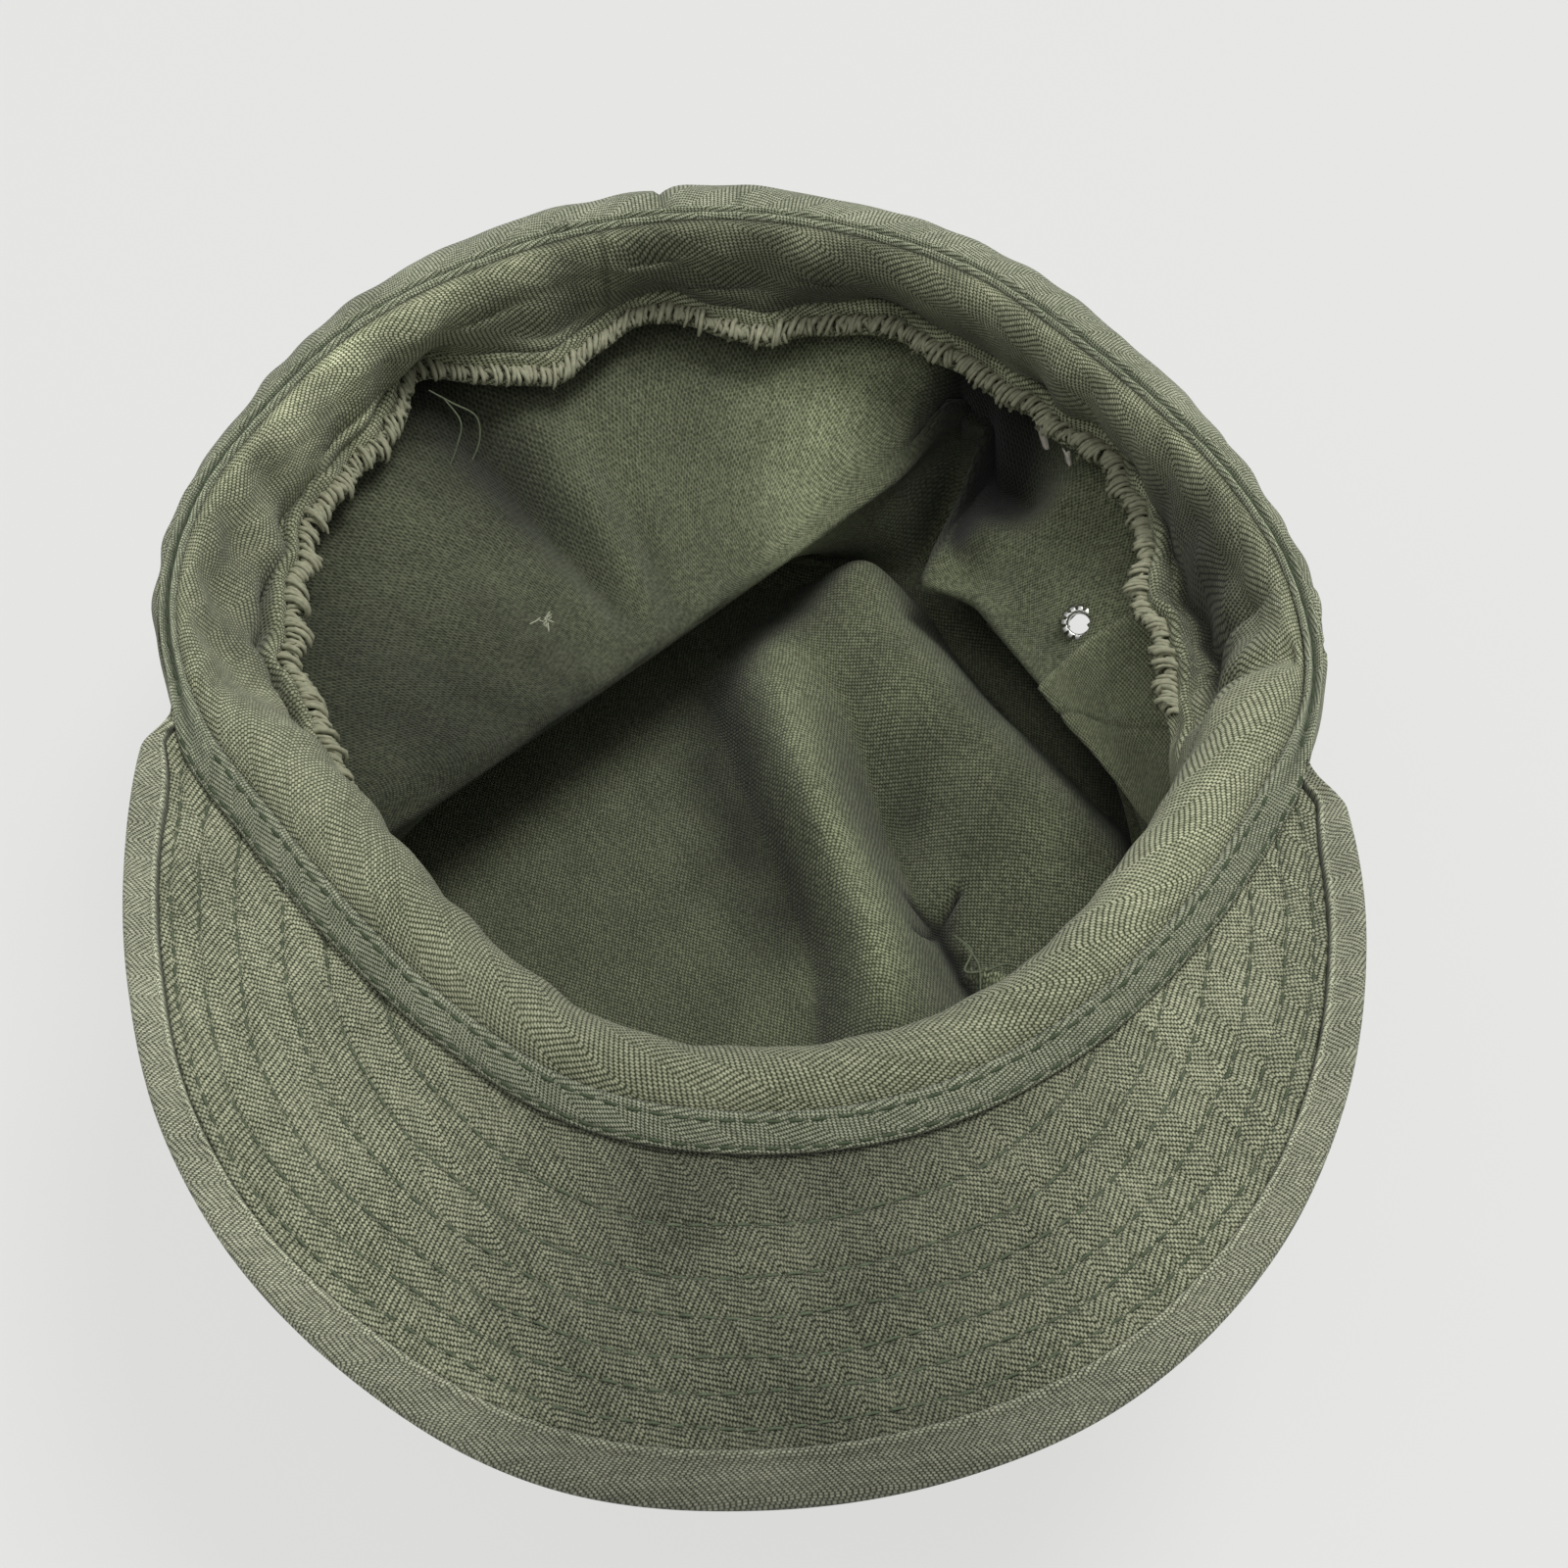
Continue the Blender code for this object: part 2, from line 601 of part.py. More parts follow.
def add_eyelet(made_of):
    """A flanged ring, its section turned about the hole's axis."""
    centre, normal = wall_frame(EYELET_ANGLE, EYELET_SHARE)
    lift = CLOTH / 2 + SEAM_GAP
    barrel = EYELET_BORE + EYELET_WALL
    profile = (
        (EYELET_BORE, -lift - EYELET_FLANGE * 0.6),
        (EYELET_BORE, lift + EYELET_FLANGE * 0.6),
        (EYELET_BORE + EYELET_WALL * 1.25, lift + EYELET_FLANGE),
        (EYELET_RADIUS, lift + EYELET_FLANGE * 0.5),
        (EYELET_RADIUS, lift),
        (barrel, lift),
        (barrel, -lift),
        (EYELET_RADIUS * 0.9, -lift),
        (EYELET_RADIUS * 0.9, -lift - EYELET_FLANGE * 0.6),
    )
    turn = np.radians(np.arange(0, 360, 22.5))
    rings = np.array([[(r * math.cos(a), r * math.sin(a), z) for r, z in profile] for a in turn])
    return place(turn_out(tube("eyelet", rings, made_of)), centre, normal)


def cut_eyelet_hole(wall, made_of):
    centre, normal = wall_frame(EYELET_ANGLE, EYELET_SHARE)
    bpy.ops.mesh.primitive_cylinder_add(
        vertices=16, radius=(EYELET_BORE + EYELET_WALL + SEAM_GAP) * MM, depth=4 * CLOTH * MM
    )
    cutter = bpy.context.object
    cutter.name = "eyelet_cutter"
    cutter.data.materials.append(made_of)
    place(cutter, centre, normal)
    cutters = bpy.data.collections.new("cutters")
    cutters.hide_render = True
    bpy.context.scene.collection.children.link(cutters)
    for home in list(cutter.users_collection):
        home.objects.unlink(cutter)
    cutters.objects.link(cutter)
    cutter.hide_render = True
    cutter.display_type = "WIRE"
    cut = wall.modifiers.new("eyelet hole", "BOOLEAN")
    cut.operation = "DIFFERENCE"
    cut.solver = "EXACT"
    cut.object = cutter


def add_crown_patch(made_of):
    """Cloth that laps over the wall beside the eyelet, down to the fold's edge."""
    t = np.linspace(0.21, 0.42, 7)
    across = np.linspace(0, 1, 8)
    upper = 28.0 - 12.0 * ease(t, 0.21, 0.46)
    angle = -16.0 + (upper[:, None] + 16.0) * across[None]
    share = np.repeat(t[:, None], 8, axis=1)
    flat_angle, flat_share = angle.ravel(), share.ravel()
    base = crown_points(flat_angle, flat_share[:, None])[:, 0]
    side = crown_points(flat_angle + 0.5, flat_share[:, None])[:, 0] - base
    down = crown_points(flat_angle, flat_share[:, None] + 0.005)[:, 0] - base
    normal = np.cross(side, down)
    normal = normal / np.linalg.norm(normal, axis=1)[:, None]
    grid = (base + normal * (CLOTH / 2 + PATCH_LIFT + PATCH_THICKNESS / 2)).reshape(7, 8, 3)
    return sheet("crown_patch", grid, PATCH_THICKNESS, made_of)


def clear():
    for made in list(bpy.data.objects):
        bpy.data.objects.remove(made)


def main():
    clear()
    band_cloth = material("band cloth", (0.25, 0.27, 0.2))
    welt_cloth = material("welt cloth", (0.2, 0.22, 0.16))
    sweatband_cloth = material("sweatband cloth", (0.24, 0.26, 0.19))
    crown_cloth = material("crown cloth", (0.17, 0.19, 0.13))
    top_cloth = material("crown top cloth", (0.18, 0.2, 0.14))
    cover_cloth = material("peak cloth", (0.23, 0.24, 0.19))
    facing_cloth = material("facing cloth", (0.2, 0.21, 0.16))
    patch_cloth = material("patch cloth", (0.19, 0.21, 0.15))
    steel = material("eyelet metal", (0.6, 0.6, 0.58), 1.0, 0.35)
    add_band(band_cloth)
    add_edge_welt(welt_cloth)
    add_sweatband(sweatband_cloth)
    wall = add_crown_side(crown_cloth)
    cut_eyelet_hole(wall, steel)
    add_crown_top(top_cloth)
    add_peak_cover(cover_cloth)
    add_peak_facing(facing_cloth)
    add_eyelet(steel)
    add_crown_patch(patch_cloth)


main()
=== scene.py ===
import math

import bpy
import numpy as np
from mathutils import Matrix


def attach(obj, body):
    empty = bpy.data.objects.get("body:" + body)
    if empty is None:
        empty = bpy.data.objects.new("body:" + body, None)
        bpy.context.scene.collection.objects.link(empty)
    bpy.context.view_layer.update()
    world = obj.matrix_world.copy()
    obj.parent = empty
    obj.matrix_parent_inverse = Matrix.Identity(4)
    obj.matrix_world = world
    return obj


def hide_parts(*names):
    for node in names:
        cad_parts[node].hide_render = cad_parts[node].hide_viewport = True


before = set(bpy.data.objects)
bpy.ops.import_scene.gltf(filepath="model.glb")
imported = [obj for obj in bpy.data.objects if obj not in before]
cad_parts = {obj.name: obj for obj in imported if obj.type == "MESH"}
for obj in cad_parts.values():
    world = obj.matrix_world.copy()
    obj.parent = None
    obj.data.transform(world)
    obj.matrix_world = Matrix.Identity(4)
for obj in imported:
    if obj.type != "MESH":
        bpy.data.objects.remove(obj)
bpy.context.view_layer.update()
print("frame loaded")

# The cap lies upside down on its crown, its peak toward -Y. Lengths are millimetres until build
# puts a piece in metres, and angles are degrees, 0 at +X and 270 at the peak.


# A cubic curve through the knots, its slope at each knot taken from the neighbours.
def smooth(where, knots, values, period=None):
    where = np.asarray(where, float)
    knots, values = np.asarray(knots, float), np.asarray(values, float)
    if period:
        knots = np.concatenate([knots[-2:] - period, knots, knots[:2] + period])
        values = np.concatenate([values[-2:], values, values[:2]])
        where = (where - knots[2]) % period + knots[2]
    slope = np.gradient(values, knots)
    i = np.clip(np.searchsorted(knots, where, side="right") - 1, 0, len(knots) - 2)
    step = knots[i + 1] - knots[i]
    t = np.clip((where - knots[i]) / step, 0, 1)
    return (
        (2 * t**3 - 3 * t**2 + 1) * values[i]
        + (t**3 - 2 * t**2 + t) * step * slope[i]
        + (3 * t**2 - 2 * t**3) * values[i + 1]
        + (t**3 - t**2) * step * slope[i + 1]
    )


# 0 up to low, 1 from high on, and a smooth step between.
def ease(t, low=0.0, high=1.0):
    t = np.clip((np.asarray(t, float) - low) / (high - low), 0, 1)
    return t * t * (3 - 2 * t)


# The column of that name in a piece's table of rows.
def column(table, name):
    return np.array([row[table["columns"].index(name)] for row in table["rows"]], float)


# 1 where away is nothing, falling to 0 over the width.
def bell(away, width):
    return np.exp(-((np.asarray(away, float) / width) ** 2))


# Degrees from an angle, -180 to 180.
def apart(angle, centre):
    return (np.asarray(angle, float) - centre + 180.0) % 360.0 - 180.0


# The sum of bells round a piece, one for each row of an angle, a width and an amount.
def places(angle, rows):
    return sum(amount * bell(apart(angle, centre), width) for centre, width, amount in rows)


# 1 between two ramps, each from its first to its last value.
def span(angle, ramps):
    return ease(angle, *ramps[0]) * (1 - ease(angle, *ramps[1]))


# 1 along the peak's joint and 0 round the back.
def front(angle, start, end, fade):
    angle = np.asarray(angle, float) % 360.0
    return ease(angle, start - fade, start + fade) * (1 - ease(angle, end - fade, end + fade))


# Points at a radius, an angle and a height.
def at(radius, angle, height):
    turn = np.radians(angle)
    return np.stack(
        np.broadcast_arrays(radius * np.cos(turn), radius * np.sin(turn), height), axis=-1
    )


# A sum of sine waves of random direction, with wavelengths near size and values near -1 to 1.
def waves(seed, size, *coords):
    rng = np.random.default_rng(seed)
    total = 0.0
    for _ in range(7):
        way = rng.normal(size=len(coords))
        way = way / np.linalg.norm(way) * 2 * math.pi / (size * rng.uniform(0.7, 1.6))
        total = total + np.sin(sum(w * c for w, c in zip(way, coords)) + rng.uniform(0, 6.3))
    return total / 3.2


# Unit normals of a grid of points, toward rising first index crossed with rising second.
def normalsOf(points):
    along = np.gradient(points, axis=0)
    down = np.gradient(points, axis=1)
    normal = np.cross(along, down)
    return normal / np.maximum(np.linalg.norm(normal, axis=-1, keepdims=True), 1e-9)


# Two cloth coordinates turned so that the second runs along the warp.
def onGrain(x, y, grain):
    turn = math.radians(grain)
    return np.stack(
        np.broadcast_arrays(
            y * math.cos(turn) - x * math.sin(turn), x * math.cos(turn) + y * math.sin(turn)
        ),
        axis=-1,
    )


# The weave's map of a piece that runs all round: the arc at its middle radius, turned to the
# grain with the way down its section.
def roundCloth(piece, step, t):
    run = np.radians(np.arange(0, 360 + step * 0.6, step))[:, None] * piece["clothRadius"]
    return onGrain(run, -t * piece["clothDepth"], piece["grain"])


# Puts points, faces, the weave's map and per-point values in one mesh, in metres.
def build(name, points, faces, corners=None, values=None):
    mesh = bpy.data.meshes.new(name)
    mesh.from_pydata((points.reshape(-1, 3) * 0.001).tolist(), [], faces.tolist())
    mesh.polygons.foreach_set("use_smooth", np.ones(len(faces), bool))
    if corners is not None:
        layer = mesh.uv_layers.new(name="weave")
        layer.data.foreach_set("uv", corners.astype(np.float32).ravel())
    for key, value in (values or {}).items():
        made = mesh.attributes.new(key, "FLOAT", "POINT")
        spread = np.broadcast_to(value, points.shape[:-1]).astype(np.float32)
        made.data.foreach_set("value", spread.ravel())
    mesh.update()
    piece = bpy.data.objects.new(name, mesh)
    bpy.context.scene.collection.objects.link(piece)
    return piece


# A surface through a grid of points. A closed grid's map has one row more than its points, and
# across closes the second direction too.
def surface(name, points, cloth, values=None, closed=False, across=False, keep=None):
    rows, columns = points.shape[:2]
    i, j = np.meshgrid(
        np.arange(rows if closed else rows - 1),
        np.arange(columns if across else columns - 1),
        indexing="ij",
    )
    i, j = i.ravel(), j.ravel()
    if keep is not None:
        i, j = i[keep.ravel()], j[keep.ravel()]
    ends = [(i, j), (i + 1, j), (i + 1, j + 1), (i, j + 1)]
    faces = np.stack([(a % rows) * columns + b % columns for a, b in ends], axis=-1)
    corners = np.stack([cloth[a, b] for a, b in ends], axis=1)
    return build(name, points, faces, corners, values)


# Round threads swept along many paths at once, thinning to their ends, joined in one mesh.
def threads(name, paths, radius, sides=6, taper=0.25):
    count, length = paths.shape[:2]
    along = np.gradient(paths, axis=1)
    along = along / np.maximum(np.linalg.norm(along, axis=-1, keepdims=True), 1e-9)
    side = np.cross(along, np.array([0.31, -0.22, 0.92]))
    side = side / np.maximum(np.linalg.norm(side, axis=-1, keepdims=True), 1e-9)
    other = np.cross(along, side)
    share = np.linspace(-1, 1, length)
    thick = np.asarray(radius) * (taper + (1 - taper) * (1 - share**6))
    thick = np.broadcast_to(thick, (count, length))
    turn = np.arange(sides) * 2 * math.pi / sides
    rings = (
        paths[:, :, None]
        + side[:, :, None] * (np.cos(turn)[:, None] * thick[:, :, None, None])
        + other[:, :, None] * (np.sin(turn)[:, None] * thick[:, :, None, None])
    )
    c, i, j = np.meshgrid(np.arange(count), np.arange(length - 1), np.arange(sides), indexing="ij")
    base = (c * length + i) * sides
    more = (j + 1) % sides
    faces = np.stack([base + j, base + more, base + sides + more, base + sides + j], axis=-1)
    return build(name, rings.reshape(-1, 3), faces.reshape(-1, 4))


# Gives a surface a cloth's thickness, half to each side.
def thicken(piece, thickness):
    solid = piece.modifiers.new("cloth", "SOLIDIFY")
    solid.thickness = thickness * 0.001
    solid.offset = 0.0
    solid.use_rim = True
    return piece


# Paints a piece, rides it on the cap's one body and hides the parts that it stands for.
def finishPiece(piece, paint, slotName, *stands):
    piece.data.materials.append(paint)
    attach(piece, "root")
    if stands:
        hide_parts(*stands)
    return piece


# Shader values as wires, with arithmetic that makes Math nodes.
class Wire:
    def __init__(self, net, socket):
        self.net = net
        self.socket = socket

    def __add__(self, other):
        return self.net.math("ADD", self, other)

    def __radd__(self, other):
        return self.net.math("ADD", other, self)

    def __sub__(self, other):
        return self.net.math("SUBTRACT", self, other)

    def __rsub__(self, other):
        return self.net.math("SUBTRACT", other, self)

    def __mul__(self, other):
        return self.net.math("MULTIPLY", self, other)

    def __rmul__(self, other):
        return self.net.math("MULTIPLY", other, self)

    def __truediv__(self, other):
        return self.net.math("DIVIDE", self, other)

    def floor(self):
        return self.net.math("FLOOR", self)

    def size(self):
        return self.net.math("ABSOLUTE", self)

    def root(self):
        return self.net.math("SQRT", self)

    def within(self):
        return self.net.make("ShaderNodeClamp", {}, {0: self})


# A material with one method for any node and short ones for those used most.
class Net:
    def __init__(self, name):
        self.material = bpy.data.materials.new(name)
        self.material.use_nodes = True
        self.tree = self.material.node_tree
        self.shader = self.tree.nodes["Principled BSDF"]

    def make(self, kind, settings, values, out=0):
        made = self.tree.nodes.new(kind)
        for key, value in settings.items():
            setattr(made, key, value)
        for key, value in values.items():
            self.feed(made.inputs[key], value)
        return Wire(self, made.outputs[out])

    def feed(self, socket, value):
        if isinstance(value, Wire):
            self.tree.links.new(value.socket, socket)
        else:
            socket.default_value = value

    def math(self, operation, *values):
        return self.make("ShaderNodeMath", {"operation": operation}, dict(enumerate(values)))

    def mix(self, share, first, second):
        values = {0: share, 6: first, 7: second}
        return self.make("ShaderNodeMix", {"data_type": "RGBA"}, values, 2)

    def scale(self, colour, factor):
        values = {0: colour, 3: factor}
        return self.make("ShaderNodeVectorMath", {"operation": "SCALE"}, values)

    def attribute(self, name):
        return self.make("ShaderNodeAttribute", {"attribute_name": name}, {}, 2)

    def noise(self, scale, detail=2.0):
        where = self.make("ShaderNodeTexCoord", {}, {}, 3)
        return self.make("ShaderNodeTexNoise", {}, {0: where, 2: scale, 3: detail})

    def chance(self, first, second):
        pair = self.make("ShaderNodeCombineXYZ", {}, {0: first, 1: second})
        return self.make("ShaderNodeTexWhiteNoise", {"noise_dimensions": "2D"}, {0: pair})


# A colour from 0 to 255 as the shader's own values.
def linear(red, green, blue):
    parts = [v / 255 for v in (red, green, blue)]
    return (*[v / 12.92 if v < 0.04 else ((v + 0.055) / 1.055) ** 2.4 for v in parts], 1.0)


# Herringbone cloth. Warp yarns lie a pitch apart, each yarn's floats repeat along it and shift by
# a share of the repeat from yarn to yarn, and the shift turns round after each stripe's yarns.
# A float is bright on its crown and dark at its ends, where the weft passes over. Each piece's own
# weave gives its two colours and what differs from these.
weave = {
    "pitch": 0.38,
    "repeat": 0.97,
    "stripe": 12.4,
    "shift": 3,
    "cover": 0.66,
    "soft": 0.16,
    "finer": 1.0,
    "contrast": 1.0,
    "lint": 0.25,
    "relief": 0.16,
    "roughness": 0.92,
    "specular": 0.18,
    "sheen": 0.12,
}


def herringbone(name, own):
    own = {**weave, **own}
    light, dark = linear(*own["light"]), linear(*own["dark"])
    contrast, soft = own["contrast"], own["soft"]
    net = Net(name)
    uv = net.make("ShaderNodeUVMap", {"uv_map": "weave"}, {})
    bend = net.noise(160.0) - 0.5
    across = net.make("ShaderNodeSeparateXYZ", {}, {0: uv}) + bend * 0.8
    along = net.make("ShaderNodeSeparateXYZ", {}, {0: uv}, 1) + bend * 0.5
    yarn = across / (own["pitch"] * own["finer"])
    index = yarn.floor()
    side = (yarn - index) * 2 - 1
    stripe = (index / own["stripe"]).floor()
    turn = 1 - 2 * net.math("MODULO", stripe, 2).size()
    step = along / (own["repeat"] * own["finer"]) + turn * index / own["shift"]
    cell = step.floor()
    end = ((step - cell) * 2 - 1).size()
    mask = ((own["cover"] + soft - end) / (2 * soft)).within()
    crown = (1 - side * side).root() * mask
    luck = net.chance(index, cell)
    yarnLuck = net.chance(index, 7.0)
    patch = net.noise(85.0, 3.0)
    fleck = net.noise(1400.0, 2.0)
    # The tone value scales the colour; on several pieces it holds painted light and painted shade
    # besides their own tones.
    tone = net.attribute("tone")
    seam = net.attribute("seam")
    bright = crown * (0.62 + 0.38 * luck) * (0.86 + 0.28 * yarnLuck) * contrast
    bright = bright + (1 - contrast) * 0.5 + (fleck - 0.5) * own["lint"] * 1.6
    bright = bright + (patch - 0.5) * 0.35
    cloth = net.mix(bright.within(), dark, light)
    cloth = net.scale(cloth, tone * (0.86 + 0.28 * net.noise(26.0)))
    # The seam value darkens the cloth at seams, stitches and joints, and as painted shade in
    # grooves, creases, slits and slots.
    seamedAndShaded = net.mix((seam * 0.8).within(), cloth, net.scale(dark[:3], tone * 0.75))
    net.feed(net.shader.inputs["Base Color"], seamedAndShaded)
    net.shader.inputs["Roughness"].default_value = own["roughness"]
    net.shader.inputs["Specular IOR Level"].default_value = own["specular"]
    net.shader.inputs["Sheen Weight"].default_value = own["sheen"]
    net.shader.inputs["Sheen Roughness"].default_value = 0.6
    height = crown + fleck * 0.5 + net.noise(520.0) * 0.6
    values = {"Strength": 0.85, "Distance": own["relief"] * 0.001, "Height": height}
    bump = net.make("ShaderNodeBump", {}, values)
    net.feed(net.shader.inputs["Normal"], bump)
    return net.material


# Thread, label or metal of one colour, its dark flecks darker by the share given.
def plain(name, colour, roughness=0.9, metallic=0.0, vary=0.25):
    net = Net(name)
    blend = net.mix(net.noise(900.0), linear(*colour), linear(*[v * (1 - vary) for v in colour]))
    net.feed(net.shader.inputs["Base Color"], blend)
    net.shader.inputs["Roughness"].default_value = roughness
    net.shader.inputs["Metallic"].default_value = metallic
    net.shader.inputs["Specular IOR Level"].default_value = 0.2 if metallic == 0 else 0.5
    return net.material


# Sections round the rim: shares of the radius for the rim and for the sweatband's free edge, of
# the dip and of the band's bulge. slot is how far the sweatband's fold stands off its face.
rim = {
    "radius": 90.0,
    "height": 76.0,
    "dip": 4.0,
    "columns": ("angle", "rim", "dip", "bulge", "free", "slot"),
    "rows": (
        (0, 1.02, 0.00, 0.26, 0.86, 0.5),
        (15, 0.98, 0.00, 0.40, 0.90, 0.8),
        (30, 0.95, 0.00, 0.62, 0.955, 1.0),
        (45, 0.955, 0.00, 0.77, 0.985, 0.9),
        (60, 1.00, 0.00, 0.85, 1.03, 0.4),
        (75, 1.03, 0.00, 0.90, 1.07, 0.2),
        (90, 1.055, 0.00, 1.00, 1.05, 0.3),
        (105, 1.06, 0.00, 0.92, 1.07, 0.3),
        (120, 1.055, 0.00, 0.83, 1.05, 0.4),
        (135, 1.055, 0.00, 0.62, 1.05, 0.5),
        (150, 1.04, 0.00, 0.44, 1.015, 0.6),
        (165, 1.045, -0.10, 0.30, 0.955, 0.9),
        (180, 1.03, -0.20, 0.20, 0.86, 1.2),
        (195, 0.99, -0.15, 0.15, 0.80, 0.6),
        (210, 0.94, 0.00, 0.12, 0.76, 0.0),
        (225, 0.94, 0.30, 0.12, 0.765, 0.0),
        (240, 0.98, 0.65, 0.12, 0.81, 0.0),
        (255, 1.04, 0.90, 0.12, 0.87, 0.0),
        (270, 1.06, 1.00, 0.12, 0.90, 0.0),
        (285, 1.065, 0.90, 0.12, 0.91, 0.0),
        (300, 1.045, 0.65, 0.12, 0.895, 0.0),
        (315, 1.02, 0.30, 0.12, 0.87, 0.0),
        (330, 1.015, 0.00, 0.12, 0.86, 0.0),
        (345, 1.04, -0.15, 0.17, 0.855, 0.2),
    ),
}


def section(name, angle):
    return smooth(angle, column(rim, "angle"), column(rim, name), 360.0)


def rimRadius(angle):
    return section("rim", angle) * rim["radius"]


def rimHeight(angle):
    return rim["height"] - section("dip", angle) * rim["dip"]


# Camera: elevation and azimuth in degrees, distance and aim in metres, and the focal length as
# a share of the picture's width.
view = {
    "elevation": 53.0,
    "azimuth": -2.0,
    "distance": 0.391,
    "aim": (0.0063, -0.039, 0.076),
    "focal": 1.59375,
}


# Where something stands that looks back along a direction, as a matrix.
def lookFrom(place, back):
    right = np.cross([0, 0, 1.0], back)
    right = right / np.linalg.norm(right)
    up = np.cross(back, right)
    rows = [[right[k], up[k], back[k], place[k]] for k in range(3)]
    return Matrix([*rows, [0, 0, 0, 1]])


def addCamera():
    e, a = math.radians(view["elevation"]), math.radians(view["azimuth"])
    back = np.array([math.sin(a) * math.cos(e), -math.cos(a) * math.cos(e), math.sin(e)])
    data = bpy.data.cameras.new("camera")
    data.sensor_width = 36.0
    data.lens = data.sensor_width * view["focal"]
    camera = bpy.data.objects.new("camera", data)
    camera.matrix_world = lookFrom(np.array(view["aim"]) + back * view["distance"], back)
    bpy.context.scene.collection.objects.link(camera)
    bpy.context.scene.camera = camera


addCamera()


# The edge welt: its outer edge, and a ridged top with a stitched groove.
welt = {
    "width": 6.0,
    "widthBack": 2.8,
    "widthAhead": (194, 338, 7),
    "tilt": 34.0,
    "tiltBack": 8.0,
    "tiltAhead": (196, 336, 14),
    "ahead": (194, 338, 10),
    # Ridges at the back, each a share of the width with its own width and height there.
    "ridges": ((0.12, 0.20, 1.15), (0.80, 0.17, 1.35)),
    # Grooves under the front's two rows of stitches.
    "grooves": ((0.80, 0.05, 0.35), (0.16, 0.05, 0.22)),
    "under": -0.9,
    # The groove between the ridges, darkened as painted shade, and the front's darker middle:
    # angle and width.
    "groove": (0.46, 0.15),
    "middle": (272, 45),
    "clothRadius": 93.0,
    "grain": -34,
    "weave": {"light": (184, 187, 160), "dark": (58, 69, 46), "finer": 0.85},
}


def weltTilt(angle):
    ahead = front(angle, *welt["tiltAhead"])
    return np.radians(welt["tiltBack"] + (welt["tilt"] - welt["tiltBack"]) * ahead)


def weltWidth(angle):
    ahead = front(angle, *welt["widthAhead"])
    return welt["widthBack"] + (welt["width"] - welt["widthBack"]) * ahead


def weltEdge(angle):
    width, tilt = weltWidth(angle), weltTilt(angle)
    return rimRadius(angle) + width * np.cos(tilt), rimHeight(angle) - width * np.sin(tilt)


# Points over the welt at a share of its width and a height above its middle face.
def onWelt(angle, share, above):
    width, tilt = weltWidth(angle), weltTilt(angle)
    r = rimRadius(angle) + share * width * np.cos(tilt) + above * np.sin(tilt)
    z = rimHeight(angle) - share * width * np.sin(tilt) + above * np.cos(tilt)
    return at(r, angle, z)


# Height of the welt's top: two rounded ridges with a groove between at the back, and at the front
# a flat strip with a groove under each row of stitches.
def weltTop(angle, share):
    ahead = front(angle, *welt["ahead"])
    dome = np.sqrt(np.clip(1 - (2 * share - 0.94) ** 6, 0, 1))
    back = sum(high * bell(share - middle, wide) for middle, wide, high in welt["ridges"]) + 0.05
    back = back + 0.10 * waves(4, 4.0, angle * 1.6, share * 3)
    strip = 0.95 - sum(deep * bell(share - middle, wide) for middle, wide, deep in welt["grooves"])
    strip = strip + 0.12 * waves(5, 5.0, angle * 1.6, share * 6)
    return dome * (back + (strip - back) * ahead)


# The top by weltTop and a flat underside, closed round the section and round the rim. At the back
# painted shade darkens its groove and painted highlight lightens its ridges, and it is darker in
# the middle of the front.
def addWelt():
    angle = np.arange(0, 360, 0.5)[:, None]
    top = np.linspace(-0.06, 0.98, 20)[None]
    low = np.linspace(0.98, -0.06, 7)[None, 1:-1]
    above = weltTop(angle, top)
    above[:, 0] = above[:, -1] = 0.0
    under = onWelt(angle, low, welt["under"] + 0 * angle)
    points = np.concatenate([onWelt(angle, top, above), under], axis=1)
    run = np.radians(np.arange(0, 360.5, 0.5))[:, None] * welt["clothRadius"]
    share = np.concatenate([top, low], axis=1)
    deep = share * welt["width"]
    deep = np.concatenate([deep, deep[:, :1] - 0.4], axis=1)
    cloth = onGrain(run, -deep, welt["grain"])
    ahead = front(angle, *welt["ahead"])
    middle, wide = welt["groove"]
    # Painted shade in the groove at the back; at the front, darker stitched grooves and outer
    # edge.
    groove = (1 - ahead) * 1.25 * bell(share - middle, wide)
    groove = groove + 0.35 * ahead * bell(share - 0.80, 0.05)
    groove = groove + ahead * 0.3 * bell(share - 0.16, 0.05) + 0.6 * ahead * (share > 0.93)
    # Painted highlight on the ridges at the back.
    ridge = bell(share - 0.12, 0.14) + bell(share - 0.82, 0.12)
    centre, width = welt["middle"]
    darker = 0.05 + 0.13 * bell(apart(angle, centre), width)
    tone = 0.98 + 0.42 * (1 - ahead) * ridge - ahead * darker
    piece = surface(
        "edgeWelt", points, cloth, {"tone": tone, "seam": groove}, closed=True, across=True
    )
    finishPiece(piece, herringbone("welt", welt["weave"]), "welt_cloth", "edge_welt")


addWelt()
print("welt made")

# The band outside the sweatband: shares of its bulge and of its height, back and front.
band = {
    "height": 29.0,
    "bulge": 17.0,
    "thickness": 1.8,
    "tuck": 6.0,
    "gap": 0.4,
    "ahead": (183, 349, 9),
    "columns": ("out", "drop", "frontDrop"),
    "rows": (
        (0.00, 0.075, 0.13),
        (0.45, 0.065, 0.20),
        (0.82, 0.19, 0.31),
        (1.00, 0.44, 0.50),
        (0.90, 0.75, 0.75),
        (0.66, 1.00, 1.00),
    ),
    # Stitch rows by their place down the section, and the seam and the notch by their angle.
    "stitchRows": (0.72, 0.93),
    "stitchDeep": 0.35,
    "seam": 88.6,
    "notch": 96.6,
    "beside": 94.5,
    # Darker and lighter places round it: angle, width and amount.
    "shades": ((178, 30, -0.16), (40, 35, 0.12)),
    "clothRadius": 100.0,
    "clothDepth": 34.0,
    "grain": 38,
    "weave": {"light": (194, 197, 170), "dark": (64, 73, 50), "finer": 0.95},
}


